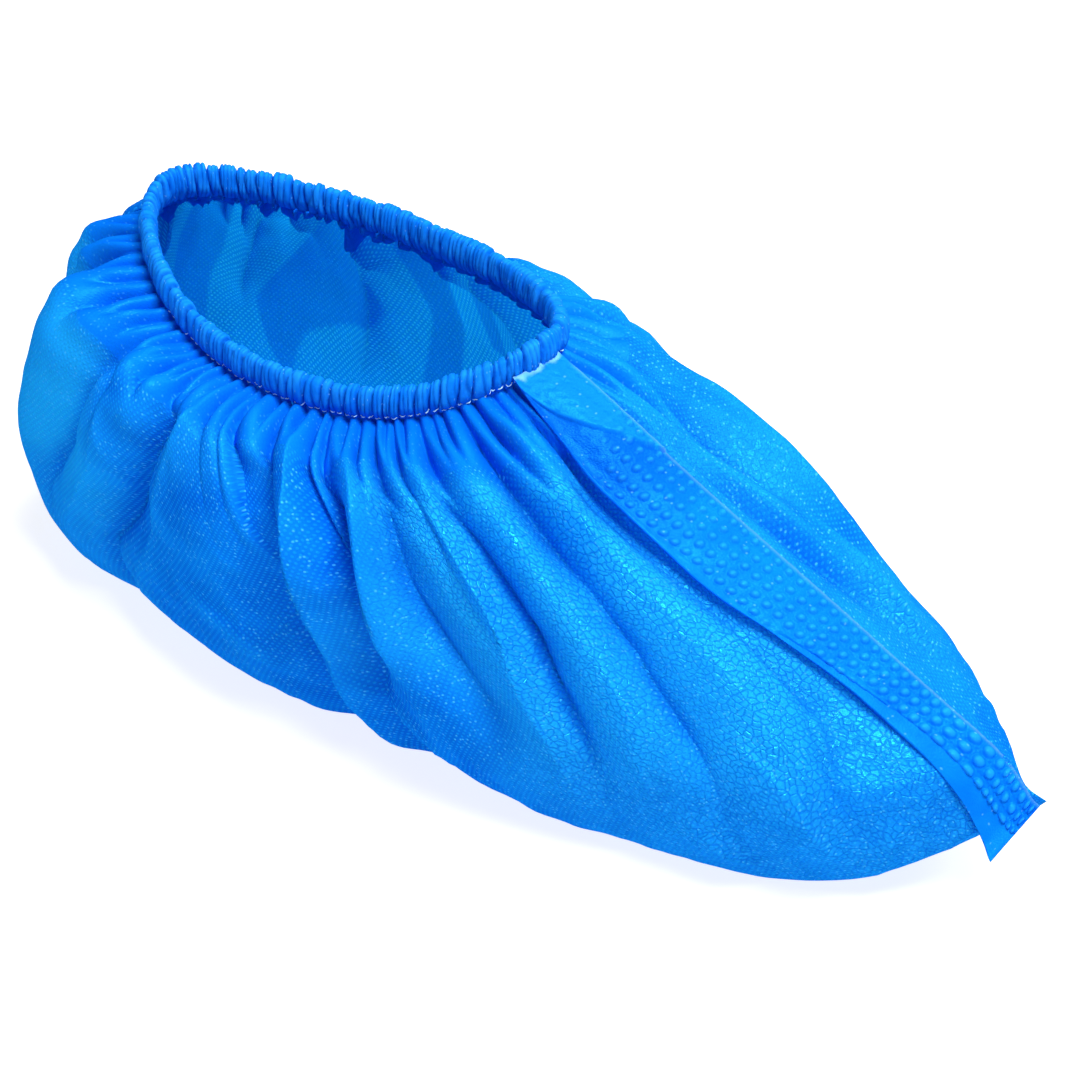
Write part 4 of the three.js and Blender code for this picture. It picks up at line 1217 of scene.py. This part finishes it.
def studio_floor():
    mesh = bpy.data.meshes.new("studio_floor")
    corners = [(x * FLOOR_REACH, y * FLOOR_REACH, 0) for x, y in ((-1, -1), (1, -1), (1, 1), (-1, 1))]
    mesh.from_pydata(corners, [], [(0, 1, 2, 3)])
    material, tree, surface = new_material("pale floor")
    place = node(tree, "ShaderNodeTexCoord").outputs["Object"]
    cloud = node(tree, "ShaderNodeTexNoise", {"Vector": place, "Scale": 2.0}).outputs["Fac"]
    colour = blend(tree, cloud, (0.42, 0.42, 0.41, 1.0), (0.44, 0.44, 0.43, 1.0))
    glow = {"Emission Color": (1.0, 1.0, 1.0, 1.0), "Emission Strength": 0.8}
    front = node(tree, "ShaderNodeBsdfPrincipled", {"Base Color": colour, "Roughness": 0.9, **glow})
    put(tree, surface, front.outputs[0])
    mesh.materials.append(material)
    floor = bpy.data.objects.new("studio_floor", mesh)
    bpy.context.scene.collection.objects.link(floor)


def way_back(azimuth, elevation):
    """The direction from the cover to a light or the camera."""
    a, e = math.radians(azimuth), math.radians(elevation)
    return Vector((math.sin(a) * math.cos(e), -math.cos(a) * math.cos(e), math.sin(e)))


def area_light(name, azimuth, elevation, distance, size, power):
    """A square soft light that looks at the middle of the cover."""
    back = way_back(azimuth, elevation)
    data = bpy.data.lights.new(name, "AREA")
    data.size = size
    data.energy = power
    light = bpy.data.objects.new(name, data)
    light.location = AIM + back * distance
    light.rotation_euler = back.to_track_quat("Z", "Y").to_euler()
    bpy.context.scene.collection.objects.link(light)


CAMERA_AZIMUTH, CAMERA_ELEVATION, FIELD = 34.4, 39.6, 21.6
CAMERA_DISTANCE = 0.776
AIM = Vector((SHIFT + np.array([7.9, 5.5, 43.0])) * MM)


def camera():
    back = way_back(CAMERA_AZIMUTH, CAMERA_ELEVATION)
    data = bpy.data.cameras.new("view")
    data.sensor_width = 36
    data.lens = data.sensor_width / 2 / math.tan(math.radians(FIELD / 2))
    data.clip_start, data.clip_end = 0.01, 30
    made = bpy.data.objects.new("view", data)
    made.location = AIM + back * CAMERA_DISTANCE
    made.rotation_euler = back.to_track_quat("Z", "Y").to_euler()
    bpy.context.scene.collection.objects.link(made)
    bpy.context.scene.camera = made


def world_light(strength):
    world = bpy.data.worlds.new("studio")
    world.use_nodes = True
    background = world.node_tree.nodes["Background"]
    background.inputs["Color"].default_value = (1.0, 1.0, 1.0, 1.0)
    background.inputs["Strength"].default_value = strength
    bpy.context.scene.world = world


studio_floor()
camera()
world_light(0.25)
area_light("key", 70, 70, 1.2, 0.5, 24.0)
area_light("back", 165, 35, 1.2, 0.5, 7.0)
bpy.context.scene.view_settings.view_transform = "Standard"
bpy.context.scene.view_settings.look = "None"
